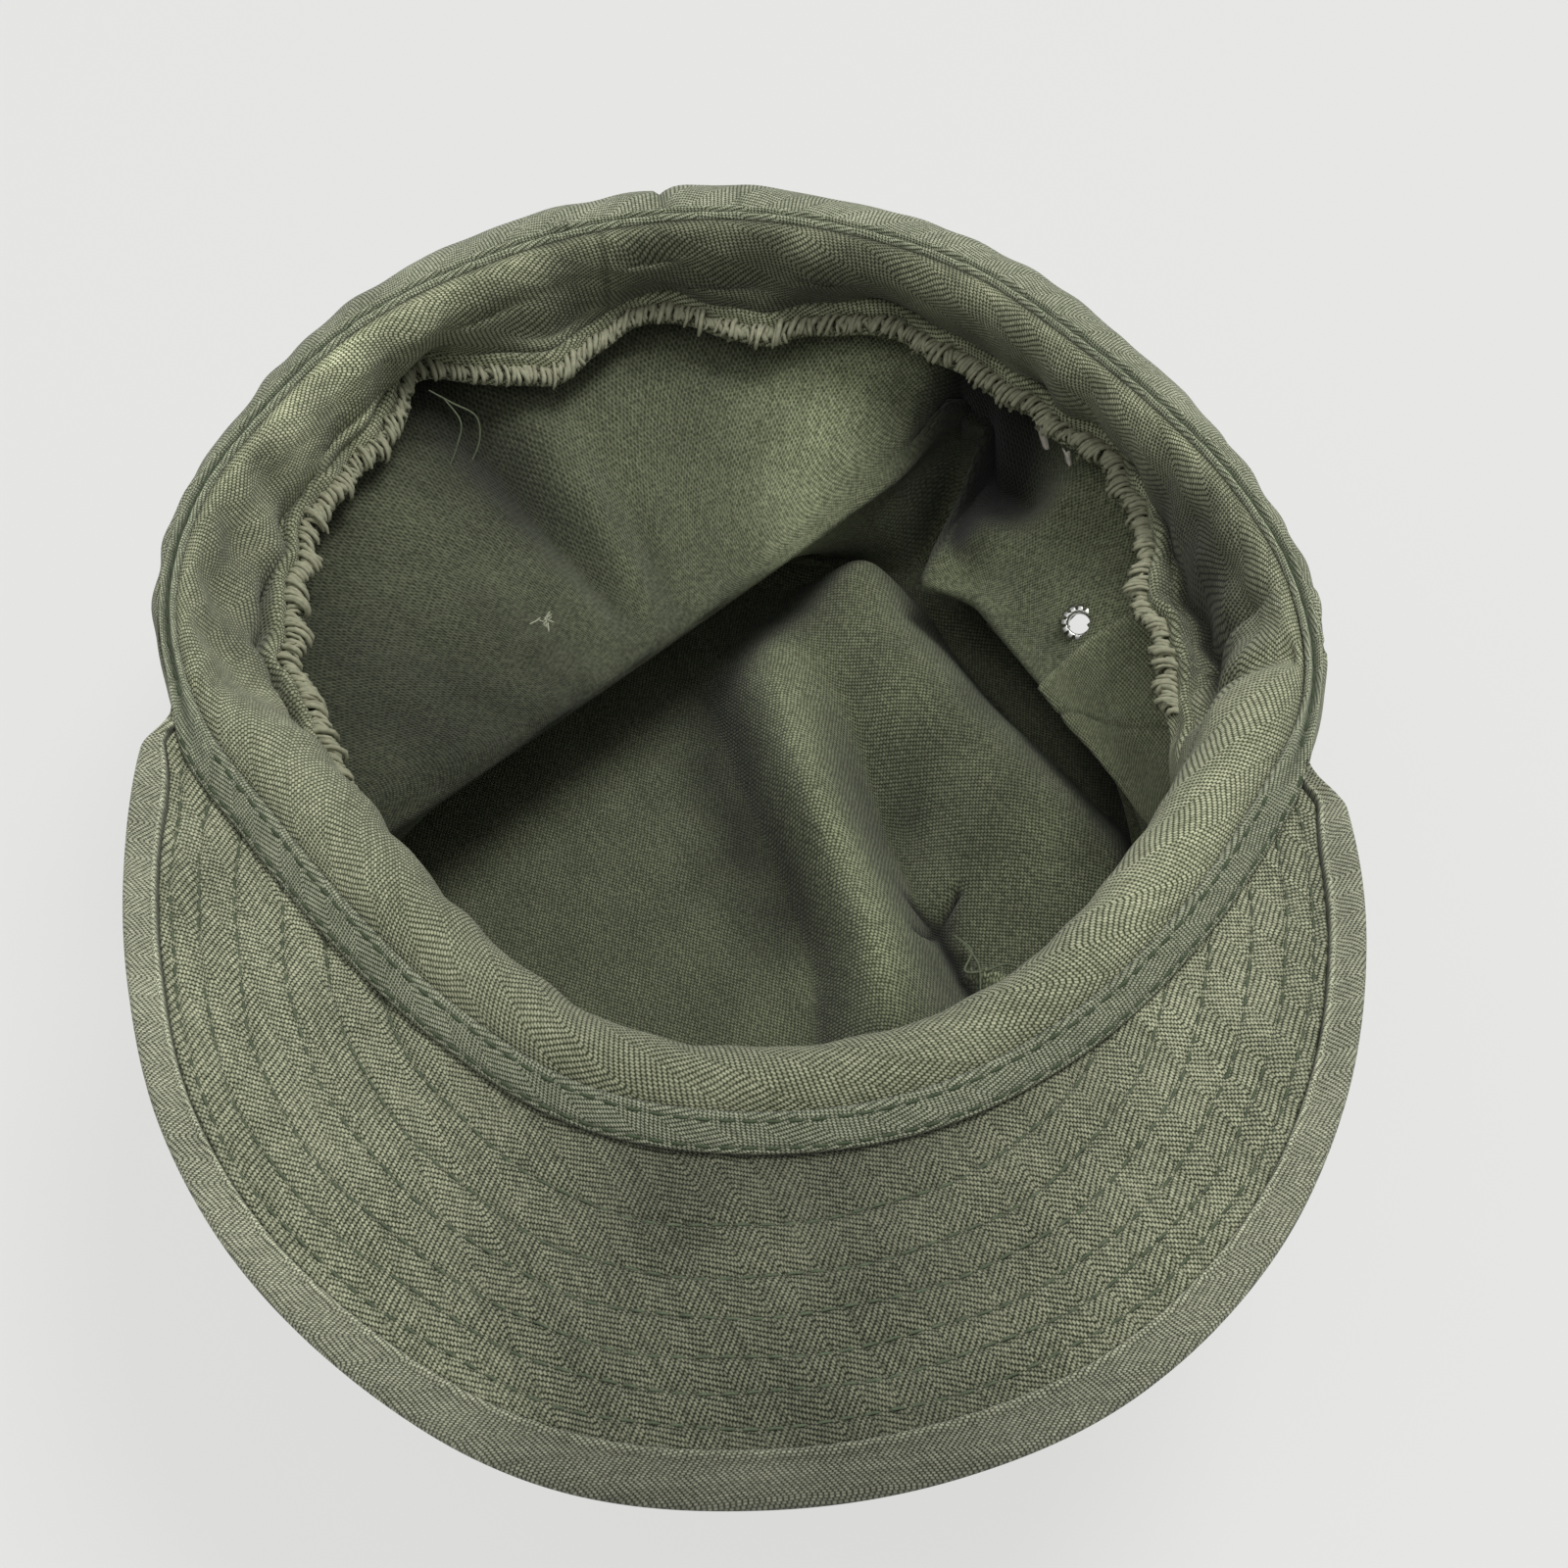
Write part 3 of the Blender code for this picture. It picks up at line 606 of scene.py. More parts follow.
# Control radii and heights of the band: out by its bulge and down by its height, and drawn in
# under the peak.
def bandSection(angle):
    out, drop = column(band, "out")[:, None], column(band, "drop")[:, None]
    frontDrop = column(band, "frontDrop")[:, None]
    share = front(angle, *band["ahead"])[None]
    start = welt["widthBack"] + band["gap"] * (0.5 - share * 3)
    bulge = section("bulge", angle)[None] * band["bulge"]
    inward = share * band["tuck"] * ease(frontDrop, 0.3, 1.0)
    radii = rimRadius(angle)[None] + start + out * (bulge - start) * (bulge > start) - inward
    drops = drop + (frontDrop - drop) * share
    return radii, rimHeight(angle)[None] - drops * band["height"]


# Smooth lines through the control rows, at shares t of their length.
def through(controls, t):
    knots = np.linspace(0, 1, len(controls))
    return np.stack([smooth(t, knots, controls[:, k]) for k in range(controls.shape[1])])


# The section's smooth line at each angle, with waves, a notch at the back and stitched grooves.
def addBand():
    angle = np.arange(0, 360, 0.75)
    t = np.linspace(0, 1, 38)
    radii, heights = bandSection(angle)
    r, z = through(radii, t), through(heights, t)
    turn = angle[:, None]
    full = 1 - front(angle, *band["ahead"])[:, None]
    r = r + full * ease(t / 0.12) * 0.45 * waves(11, 13.0, turn * 1.7, t * 28)
    notch = bell(apart(turn, band["notch"]), 0.55) * (1 - ease(t, 0.35, 0.75))
    r = r - full * 0.6 * notch
    z = z - full * 0.9 * notch
    z = z + full * 0.5 * bell(apart(turn, band["beside"]), 1.2) * (1 - ease(t, 0.2, 0.5))
    for row in band["stitchRows"]:
        r = r - band["stitchDeep"] * bell(t - row, 0.02)
    seam = places(turn, ((band["seam"], 0.22, 0.55), (band["notch"], 0.5, 0.7)))
    seam = seam * full + 0.6 * (1 - ease(t, 0.0, 0.06))
    tone = 1.0 + places(turn, band["shades"]) - 0.25 * ease(t, 0.5, 1.0)
    tone = tone + 0.05 * waves(12, 16.0, turn * 1.7, t * 28)
    cloth = roundCloth(band, 0.75, t)
    values = {"tone": tone, "seam": seam}
    piece = surface("band", at(r, turn, z), cloth, values, closed=True)
    thicken(piece, band["thickness"])
    finishPiece(piece, herringbone("band", band["weave"]), "band_cloth", "band")


addBand()
print("band made")

# The sweatband: shares of its height. A front roll, a back face, and past them the fold and the
# overlocked strip at its free edge.
sweat = {
    "height": 21.0,
    "thickness": 1.3,
    "columns": ("rollIn", "rollDrop", "backIn", "backDrop", "toFree"),
    "rows": (
        (0.015, 0.10, -0.01, 0.04, 0.0),
        (0.13, 0.00, 0.08, 0.075, 0.0),
        (0.28, -0.05, 0.15, 0.25, 0.0),
        (0.45, 0.00, 0.14, 0.40, 0.08),
        (0.60, 0.15, 0.12, 0.56, 0.30),
        (0.68, 0.38, 0.08, 0.70, 0.60),
        (0.70, 0.68, 0.03, 0.85, 0.85),
        (0.72, 1.00, 0.00, 1.00, 1.0),
    ),
    # Each pucker's angle and width, and its share of the height outward.
    "puckers": (
        (14, 5, -0.16),
        (36, 6, 0.12),
        (71, 7, 0.12),
        (85, 6, -0.22),
        (98, 5, 0.16),
        (113, 7, -0.30),
        (127, 4, 0.40),
        (141, 7, -0.10),
        (160, 7, -0.10),
        (176, 5, 0.10),
    ),
    # Each crease's angle and width, its place down the section and width there, and how far it
    # goes outward and down.
    "creases": (
        (184, 13, 0.63, 0.045, 2.6, 8.0),
        (168, 8, 0.60, 0.045, 1.6, 5.0),
        (6, 17, 0.55, 0.09, 5.0, 10.0),
        (34, 12, 0.40, 0.08, 1.5, 4.0),
        (139, 7, 0.45, 0.06, 2.4, 6.5),
        (153, 6, 0.55, 0.06, 2.0, 5.0),
        (120, 4, 0.28, 0.05, 0.9, 3.2),
        (99, 4, 0.20, 0.06, 1.2, 4.0),
        (79, 4, 0.30, 0.05, 0.9, 3.4),
        (92, 8, 0.40, 0.09, 1.4, 4.0),
        (70, 5, 0.50, 0.08, 0.8, 2.4),
        (111, 6, 0.50, 0.09, 1.2, 3.6),
        (129, 5, 0.42, 0.10, 1.0, 3.0),
    ),
    "strip": 3.6,
    "ahead": (190.0, 352.0, 12.0),
    # The pinched ends of the roll: angle, width, how far outward and how far down. The tuck also
    # has its place down the section and its width there.
    "pinch": (350.5, 2.2, 2.6, 2.0),
    "tuck": (186.0, 3.0, 0.42, 0.12, 1.6, 1.5),
    # The back seam's angle, and the shadow behind the right end of the roll: its angle and width,
    # its place down the section and width there, and its amount.
    "seam": 104.6,
    "shadow": (11, 14, 0.36, 0.24, 0.62),
    # Darker and lighter places of the roll: angle, width and amount. Those of the back face also
    # have the places down the section between which they fade.
    "rollShades": ((268, 48, -0.24), (322, 18, 0.20)),
    "backShades": ((140, 16, 0.55, 0.5, 0.7), (84, 28, -0.42, 0.6, 0.8)),
    "clothRadius": 86.0,
    "clothDepth": 31.0,
    "grain": 24,
    "weave": {"light": (190, 192, 159), "dark": (60, 68, 42)},
}


# How far the free edge goes outward at each angle, by its puckers.
def pucker(angle):
    return sweat["height"] * places(angle, sweat["puckers"])


# Control radii and heights of the sweatband, a column for each angle. Its section's rows come
# first, then the bottom of the slot behind the fold, the fold's lip and the strip's two edges.
def sweatSection(angle):
    def get(name):
        return column(sweat, name)[:, None]

    tall = sweat["height"]
    edge, free = rimRadius(angle)[None], section("free", angle)[None] * rim["radius"]
    ahead = front(angle, *sweat["ahead"])[None]
    back = edge - get("backIn") * tall
    back = back + (free + pucker(angle)[None] - edge) * get("toFree")
    roll = edge - get("rollIn") * tall
    roll = roll + (free - roll[-1:]) * get("toFree")
    drops = get("backDrop") + (get("rollDrop") - get("backDrop")) * ahead
    radii = back + (roll - back) * ahead
    heights = rimHeight(angle)[None] - drops * tall
    gap = section("slot", angle)[None] * (1 - ahead)
    lastR, lastZ = radii[-1:], heights[-1:]
    strip = sweat["strip"] * (1 - ahead)
    radii = np.concatenate([
        radii[:-1],
        lastR + 3.2 * gap,
        lastR - 0.2 - 0.6 * (1 - ahead),
        lastR - 0.5 - 0.35 * strip,
        lastR - 0.9 - strip,
    ])
    heights = np.concatenate([
        heights[:-1],
        lastZ - 3.0 * gap,
        lastZ + 1.2 * (1 - ahead) - 1.5 * ahead,
        lastZ - 1.6 * (1 - ahead) - 3.0 * ahead,
        lastZ - 3.4 * (1 - ahead) - 4.5 * ahead,
    ])
    return radii, heights


# Points of the sweatband: its section's smooth line at each angle, with waves, its creases and
# two pinched places at the ends of the roll.
def sweatPoints(angle, t):
    radii, heights = sweatSection(angle)
    r, z = through(radii, t), through(heights, t)
    turn = np.asarray(angle)[:, None]
    ahead = front(angle, *sweat["ahead"])[:, None]
    free = ease(t, 0.25, 0.8) * (1 - ahead)
    r = r + free * 0.95 * waves(21, 9.0, turn * 1.55, t * 6)
    ripple = (1 - ahead) * ease(t, 0.06, 0.2) * (1 - ease(t, 0.6, 0.75))
    r = r + ripple * 0.8 * waves(25, 12.0, turn * 1.3, t * 16)
    z = z + free * 0.5 * waves(22, 11.0, turn * 1.55, t * 6)
    r = r + ahead * ease(t, 0.02, 0.3) * 0.35 * waves(23, 12.0, turn * 1.55, t * 20)
    centre, width, out, down = sweat["pinch"]
    pinch = bell(apart(turn, centre), width) * ease(t, 0.02, 0.15) * (1 - ease(t, 0.45, 0.8))
    r = r + out * pinch
    z = z - down * pinch
    for centre, width, where, deep, out, down in sweat["creases"]:
        crease = bell(apart(turn, centre), width) * bell(t - where, deep)
        r = r + out * crease
        z = z - down * crease
    centre, width, where, deep, out, down = sweat["tuck"]
    tuck = bell(apart(turn, centre), width) * bell(t - where, deep)
    return at(r + out * tuck, turn, z - down * tuck)


# Painted shade darkens its creases, its back face lower down, the slot under its fold and the
# place behind the right end of the roll, and painted highlight lightens it along the fold.
def addSweatband():
    angle = np.arange(0, 360, 0.6)
    t = np.concatenate([np.linspace(0, 0.6, 24), np.linspace(0.62, 1, 29)])
    points = sweatPoints(angle, t)
    cloth = roundCloth(sweat, 0.6, t)
    turn = angle[:, None]
    ahead = front(angle, *sweat["ahead"])[:, None]
    behind = 1 - ahead
    # Painted shade lower down the back face, and painted highlight along the fold's edge.
    tone = 1.0 - 0.20 * behind * ease(t, 0.1, 0.5) + 0.30 * behind * bell(t - 0.84, 0.035)
    tone = tone + ahead * places(turn, sweat["rollShades"])
    for centre, width, amount, first, last in sweat["backShades"]:
        lit = amount * bell(apart(turn, centre), width) * (1 - ease(t, first, last))
        tone = tone + behind * lit
    centre, width, where, deep, amount = sweat["shadow"]
    tone = tone - amount * bell(apart(turn, centre), width) * bell(t - where, deep)
    tone = tone * (1 + 0.17 * behind * waves(24, 10.0, turn * 1.5, t * 14))
    # Painted shade in each crease.
    for centre, width, where, deep, _, down in sweat["creases"]:
        dark = bell(apart(turn, centre), width) * bell(t - where, deep * 0.8)
        tone = tone * (1 - min(0.07 * down, 0.6) * dark)
    seam = 0.95 * bell(apart(turn, sweat["seam"]), 0.3) * (1 - ease(t, 0.6, 0.75))
    # Dark along the joint at the top, and painted shade in the slot under the fold.
    seam = seam + 0.5 * (1 - ease(t, 0.0, 0.05)) + 0.35 * behind * bell(t - 0.79, 0.03)
    piece = surface("sweatband", points, cloth, {"tone": tone, "seam": seam}, closed=True)
    thicken(piece, sweat["thickness"])
    paint = herringbone("sweatband", sweat["weave"])
    finishPiece(piece, paint, "sweatband_cloth", "sweatband")


addSweatband()
print("sweatband made")

# The overlocked thread round the strip's edge: slanted loops a spacing apart, each an arc of the
# rope radius about the edge, from the fold's side over the top and down inside.
overlock = {
    "spacing": 0.92,
    "radius": 0.46,
    "rope": 1.85,
    "slant": 2.0,
    "where": 0.955,
    "colour": (180, 180, 152),
}


# Two rounds of loops, the second smaller and leaning the other way.
def addOverlock():
    rng = np.random.default_rng(7)
    angle = np.arange(-7.0, 200.0, math.degrees(overlock["spacing"] / 88.0))
    angle = np.concatenate([angle, angle + 0.3])
    count = len(angle)
    angle = angle + rng.normal(0, 0.18, count)
    clump = waves(28, 4.0, angle) + 0.5 * waves(29, 1.6, angle)
    where = np.array([overlock["where"]])
    core = np.concatenate([sweatPoints(angle[i : i + 1], where)[:, 0] for i in range(count)])
    inward = -at(1.0, angle, 0.0)
    along = np.cross(inward, [0.0, 0.0, 1.0])
    inner = np.arange(count) >= count // 2
    rope = overlock["rope"] * (1 + 0.25 * clump) * rng.uniform(0.75, 1.25, count)
    rope = rope * np.where(inner, 0.62, 1.0)
    start = rng.uniform(-35, 5, count)
    stop = rng.uniform(175, 225, count)
    core = core + inward * (0.35 + 0.35 * clump[:, None]) + rng.normal(0, 0.16, core.shape)
    lean = overlock["slant"] * rng.uniform(0.5, 1.4, count) * np.where(inner, -0.7, 1.0)
    rows = []
    for share in np.linspace(0, 1, 9):
        turn = np.radians(start + (stop - start) * share)
        spot = core - inward * (rope * np.cos(turn))[:, None]
        spot = spot + along * (lean * (share - 0.5))[:, None]
        spot[:, 2] += rope * 0.9 * np.sin(turn) + 0.9
        rows.append(spot)
    path = np.stack(rows, axis=1)
    path = path + rng.normal(0, 0.05, path.shape)
    size = overlock["radius"] * rng.uniform(0.75, 1.25, count)[:, None]
    piece = threads("overlockThread", path, size, 6, 0.6)
    finishPiece(piece, plain("overlock thread", overlock["colour"], vary=0.35), "sweatband_cloth")


addOverlock()
print("overlock made")

# The crown's wall and its two inward folds.
crown = {
    "cloth": 1.4,
    "gap": 0.4,
    "lap": 0.8,
    "topRadius": 77.0,
    "nose": 3.2,
    "blend": 4.0,
    "spread": 22.0,
    "sag": 2.0,
    "bend": 4.0,
    # Each fold's edge: the angle of its normal, shares of the rim's radius and height, and the
    # angles between which it lies.
    "folds": ((131, 0.33, 0.57, 60, 207), (28, 0.67, 0.67, -40, 57)),
    "fade": 5.0,
    "tip": 10.0,
    # The hollow between the folds: its depth, the angles where its lower and upper parts and its
    # painted shade start, over how far they do, and where it ends.
    "pitDepth": 30.0,
    "pitStarts": (44.0, 52.0),
    "pitDark": 47.0,
    "pitFade": 5,
    "pitEnd": (59.0, 66.0),
    "columns": ("angle", "wall"),
    "rows": (
        (0, 0.98),
        (45, 1.02),
        (60, 1.07),
        (90, 1.06),
        (135, 1.05),
        (180, 0.98),
        (225, 0.93),
        (270, 0.96),
        (315, 0.96),
    ),
    "wallDrop": 0.66,
    # Soft dents and ridges of the back panel: angle, width and height.
    "drape": ((117, 3.2, 1.5), (110, 3.0, -1.1), (124.5, 4.0, -4.5), (101, 4.0, -0.7)),
    # The hollow's darkest painted shade, and the back panel, each by the angles where it starts
    # and ends.
    "hollow": ((50, 55), (62, 67)),
    "back": ((64, 74), (200, 215)),
    # Painted light on the back panel's end, and painted shade on its left and in its deepest dent:
    # angle, width and amount.
    "backLight": (77, 9, 1.0),
    "backShade": (174, 32, 0.58),
    "dentShade": (126, 7.0, 0.78),
    "tone": 1.30,
    # How much painted shade darkens the hollow.
    "black": 0.96,
    "clothRadius": 78.0,
    "clothDepth": 96.0,
    "grain": 84,
    "weave": {
        "light": (132, 138, 108),
        "dark": (56, 62, 42),
        "cover": 0.60,
        "relief": 0.18,
        "contrast": 0.75,
        "lint": 0.9,
        "shift": 2,
    },
}


# Radius and drop of the wall's innermost line, and how far it is folded. Each fold is a straight
# edge, and the wall and the folds join by weights that favour the innermost.
def foldLine(angle):
    wall = smooth(angle, column(crown, "angle"), column(crown, "wall"), 360.0) * rim["radius"]
    reach, drops = [wall], [np.full_like(wall, crown["wallDrop"])]
    for toward, distance, drop, first, last in crown["folds"]:
        away = apart(angle, toward)
        chord = distance * rim["radius"] / np.cos(np.radians(np.clip(away, -80, 80)))
        gone = ease(away, last - toward - crown["fade"], last - toward + crown["fade"])
        gone = gone + ease(-away, toward - first - crown["fade"], toward - first + crown["fade"])
        inward = crown["tip"] * ease(away, 12, 32) * (toward < 90)
        chord = np.minimum(chord, rim["radius"] * 1.67) - inward
        reach.append(chord + rim["radius"] * 0.67 * gone)
        drops.append(np.full_like(wall, drop))
    reach, drops = np.array(reach), np.array(drops)
    weight = np.exp(-(reach - reach.min(axis=0)) / crown["blend"])
    radius = (reach * weight).sum(axis=0) / weight.sum(axis=0)
    drop = (drops * weight).sum(axis=0) / weight.sum(axis=0)
    return radius, drop, ease((wall - radius) / crown["spread"])


# 1 in the hollow between the two folds, from an angle on.
def pit(angle, start):
    fade = crown["pitFade"]
    return ease(angle, start - fade, start + fade) * (1 - ease(angle, *crown["pitEnd"]))


# Control radii and heights of the wall: the lap behind the band, the panel, the fold's nose and
# the return to the seam with the crown's top. In the hollow between the folds the panel drops.
def crownSection(angle):
    bandR, bandZ = bandSection(angle)
    gap = crown["gap"]
    lap = band["thickness"] / 2 + crown["cloth"] / 2 + gap * 2.25
    lapR = bandR[-1] * 0.55 + bandR[-2] * 0.45 - lap
    lapZ = bandZ[-1] * 0.55 + bandZ[-2] * 0.45 - crown["lap"]
    topR, topZ = bandR[-1] - lap - gap, bandZ[-1] - crown["lap"]
    radius, drop, folded = foldLine(angle)
    noseZ = rim["height"] * (1 - drop)
    back = crown["nose"] * 1.1 * folded
    spread = crown["nose"] * (1 + 1.4 * (1 - folded))
    sag = crown["sag"] * (1 - folded)
    seamR = np.full_like(radius, crown["topRadius"] - crown["cloth"])
    seamZ = np.full_like(radius, crown["cloth"] * 1.5 + gap * 2)
    upperZ, lowerZ = noseZ + spread * 0.9, noseZ - spread
    deep, deeper = [pit(angle, start) for start in crown["pitStarts"]]
    radii = [
        lapR,
        topR,
        topR + (radius - topR) * (0.33 - 0.22 * deep) + sag,
        topR + (radius - topR) * (0.68 - 0.40 * deeper) + sag,
        radius + back,
        radius,
        radius + back,
        radius + back + (seamR - radius - back) * (0.5 - 0.28 * (1 - folded)),
        seamR + crown["bend"] * (1 - 0.6 * folded),
        seamR - crown["bend"] / 2,
    ]
    heights = [
        lapZ,
        topZ,
        topZ + (upperZ - topZ) * 0.30 - crown["pitDepth"] * 0.55 * deep,
        topZ + (upperZ - topZ) * 0.66 - crown["pitDepth"] * 0.35 * deeper,
        upperZ,
        noseZ,
        lowerZ,
        lowerZ + (seamZ - lowerZ) * (0.45 + 0.1 * (1 - folded)),
        seamZ + crown["bend"] * 0.3,
        seamZ,
    ]
    return np.array(radii), np.array(heights)


# Points of the wall: its section's smooth line at each angle.
def crownPoints(angle, t):
    radii, heights = crownSection(np.asarray(angle, float))
    return at(through(radii, t), np.asarray(angle, float)[:, None], through(heights, t))


# The eyelet's place in the wall, its sizes, and the hole and the dark ring that it leaves there.
eyelet = {
    "angle": 23.8,
    "share": 0.338,
    "radius": 3.6,
    "bore": 2.0,
    "flange": 0.5,
    "wall": 0.4,
    "teeth": 12,
    "toothDeep": 0.85,
    "toothLow": 0.35,
    "hole": 2.6,
    "ring": 3.2,
    "facing": (0.1, -1.0, 1.2),
}


# A point on the wall and the wall's normal there.
def wallFrame():
    turn = eyelet["angle"] + np.array([0.0, 0.5])
    spot = crownPoints(turn, np.array([eyelet["share"], eyelet["share"] + 0.005]))
    normal = np.cross(spot[1, 0] - spot[0, 0], spot[0, 1] - spot[0, 0])
    return spot[0, 0], normal / np.linalg.norm(normal)


# The wall with its drape along its normals, open at the eyelet. Painted shade makes it nearly
# black in the hollow between the folds and darkens the back panel toward its left and in its
# deepest dent, and painted light brightens the back panel's end.
def addCrownSide():
    angle = np.arange(0, 360, 0.8)
    t = np.linspace(0, 1, 96)
    points = crownPoints(angle, t)
    turn = angle[:, None]
    inner = ease(t, 0.10, 0.2) * (1 - ease(t, 0.5, 0.56))
    drape = places(turn, crown["drape"]) * (1 - ease(t, 0.3, 0.48))
    drape = drape + 0.5 * waves(31, 26.0, turn * 1.3, t * 90)
    points = points + normalsOf(points) * (inner * drape)[..., None]
    cloth = roundCloth(crown, 0.8, t)
    centre, _ = wallFrame()
    middle = (points[:, :-1] + points[:, 1:]) / 2
    middle = (middle + np.roll(middle, -1, axis=0)) / 2
    keep = np.linalg.norm(middle - centre, axis=-1) > eyelet["hole"]
    # Painted shade in the hollow between the folds.
    hole = pit(turn, crown["pitDark"]) * (1 - ease(t, 0.38, 0.44))
    between = span(turn, crown["hollow"])
    hole = np.maximum(hole, between * (1 - 0.25 * ease(t, 0.42, 0.5)))
    hole = hole * (1 - 0.7 * ease(t, 0.52, 0.66))
    back = span(turn, crown["back"])
    # Painted light on the back panel's end, and painted shade on its left and in its deepest dent.
    tone = crown["tone"] - 0.38 * back + places(turn, [crown["backLight"]]) * back
    tone = tone * (1 - places(turn, [crown["backShade"]]) * back)
    tone = tone * (1 - places(turn, [crown["dentShade"]]) * (1 - ease(t, 0.22, 0.42)))
    tone = tone * (1 - crown["black"] * hole) * (1 - 0.12 * ease(t, 0.0, 0.12))
    tone = tone * (1 + 0.10 * waves(33, 15.0, turn * 1.3, t * 90))
    seam = 0.25 * bell(np.linalg.norm(points - centre, axis=-1) - eyelet["ring"], 0.8)
    values = {"tone": tone, "seam": seam}
    piece = surface("crownSide", points, cloth, values, closed=True, keep=keep)
    thicken(piece, crown["cloth"])
    finishPiece(piece, herringbone("crown", crown["weave"]), "crown_cloth", "crown_side")


addCrownSide()
print("crown side made")

# Raised folds of the crown's top in sections along Y: shares of the radius and of the height.
crownTop = {
    "height": 16.5,
    "columns": (
        "y", "midX", "midLeft", "midRight", "midHeight", "sideX", "sideLeft", "sideRight",
        "sideHeight",
    ),
    "rows": (
        (-0.95, 0.38, 0.24, 0.24, 0.75, 1.02, 0.50, 0.16, 0.40),
        (-0.75, 0.36, 0.22, 0.24, 0.92, 1.00, 0.50, 0.16, 0.45),
        (-0.56, 0.33, 0.18, 0.24, 1.02, 0.98, 0.50, 0.16, 0.60),
        (-0.35, 0.285, 0.13, 0.22, 1.12, 0.93, 0.50, 0.20, 0.85),
        (-0.13, 0.22, 0.11, 0.20, 1.12, 0.81, 0.44, 0.23, 1.02),
        (0.10, 0.155, 0.12, 0.21, 1.10, 0.65, 0.36, 0.25, 1.08),
        (0.40, 0.11, 0.17, 0.28, 0.92, 0.45, 0.34, 0.24, 1.06),
        (0.60, 0.10, 0.22, 0.26, 0.66, 0.355, 0.34, 0.22, 1.04),
        (0.80, 0.02, 0.18, 0.17, 0.40, 0.30, 0.27, 0.20, 1.00),
        (1.00, 0.00, 0.17, 0.17, 0.20, 0.27, 0.25, 0.18, 0.80),
    ),
    # Shares of the radius between which the folds end.
    "folded": (0.84, 0.95),
    # The middle fold's painted highlight along its crest and painted shade in the hollow to its
    # left:
    # distance from the crest, width and amount, between the places along Y where they start and
    # end.
    "crest": (0.0, 7.5, 0.72),
    "hollow": (-13.0, 8.5, 0.50),
    "crestEnds": ((-50, -35), (36, 50)),
    "tone": 0.80,
    "grain": -60,
    "weave": {
        "light": (136, 142, 112),
        "dark": (56, 62, 42),
        "cover": 0.60,
        "relief": 0.20,
        "contrast": 1.0,
        "lint": 0.8,
        "shift": 2,
    },
}


# Height of the crown's top. Each fold falls from its crest as a power of a cosine, the two join as
# the cube root of their cubes' sum, and both end at the wall's folds and near the rim.
def topHeight(x, y):
    radius = crown["topRadius"]
    across, along = x / radius, y / radius
    ys = column(crownTop, "y")

    def get(name):
        return smooth(along, ys, column(crownTop, name))

    cubes = 0.0
    for fold in ("mid", "side"):
        away = across - get(fold + "X")
        width = np.where(away > 0, get(fold + "Right"), get(fold + "Left"))
        hump = np.clip(np.cos(np.clip(away / width, -1, 1) * math.pi / 2), 0, 1)
        hump = hump ** (1.5 if fold == "mid" else np.where(away > 0, 1.0, 1.5))
        cubes = cubes + (hump * get(fold + "Height")) ** 3
    raised = np.cbrt(cubes) * crownTop["height"]
    for toward, distance, _, _, _ in crown["folds"]:
        turn = math.radians(toward)
        beyond = x * math.cos(turn) + y * math.sin(turn) - distance * rim["radius"]
        raised = raised * (1 - ease(beyond / crown["nose"], -1, 5))
    turn, out = np.degrees(np.arctan2(y, x)), np.hypot(x, y)
    late = 0.07 * bell(apart(turn, 10), 40)
    first, last = crownTop["folded"]
    raised = raised * (1 - ease(out / radius, first + late, last + late))
    raised = raised + 2.4 * ease(out, 68, 73) * bell(apart(turn, 60), 60)
    raised = raised - 2.0 * bell(np.hypot(x - 29, y - 1), 4.5) * ease(raised, 1, 5)
    raised = raised * (1 - slit["depth"] * slitDepth(x, y)) + slit["lipHeight"] * slitLip(x, y)
    raised = raised - 1.2 * bell(np.hypot((x - 46) / 1.4, y + 37), 3.5) * ease(raised, 1, 4)
    uneven = 0.35 * waves(41, 24.0, x, y) * ease(raised, 0.5, 5.0)
    return raised + crown["cloth"] / 2 + uneven


# Distance in millimetres from a line between two points.
def fromLine(x, y, first, last):
    wayX, wayY = last[0] - first[0], last[1] - first[1]
    t = np.clip(((x - first[0]) * wayX + (y - first[1]) * wayY) / (wayX**2 + wayY**2), 0, 1)
    return np.hypot(x - first[0] - t * wayX, y - first[1] - t * wayY)


# A pinched slit beside the middle fold: lines from a middle, each with its end and its width, and
# the line along which the cloth's edge stands up. depth is a share of the fold's height.
slit = {
    "middle": (35.5, -19.0),
    "ends": (
        ((43.8, -41.0), 1.9),
        ((30.5, -13.0), 1.3),
        ((39.5, -13.0), 1.0),
        ((30.5, -23.0), 1.0),
    ),
    "pinch": 3.2,
    "depth": 0.85,
    "lip": ((40.5, -28.5), (52.0, -35.5)),
    "lipWidth": 0.8,
    "lipHeight": 2.8,
}


# 1 along the slit's lines and in its middle.
def slitDepth(x, y):
    lines = [bell(fromLine(x, y, slit["middle"], end), width) for end, width in slit["ends"]]
    lines.append(bell(np.hypot(x - slit["middle"][0], y - slit["middle"][1]), slit["pinch"]))
    return np.max(lines, axis=0)


# 1 along the edge that stands up beside the slit.
def slitLip(x, y):
    return bell(fromLine(x, y, *slit["lip"]), slit["lipWidth"])
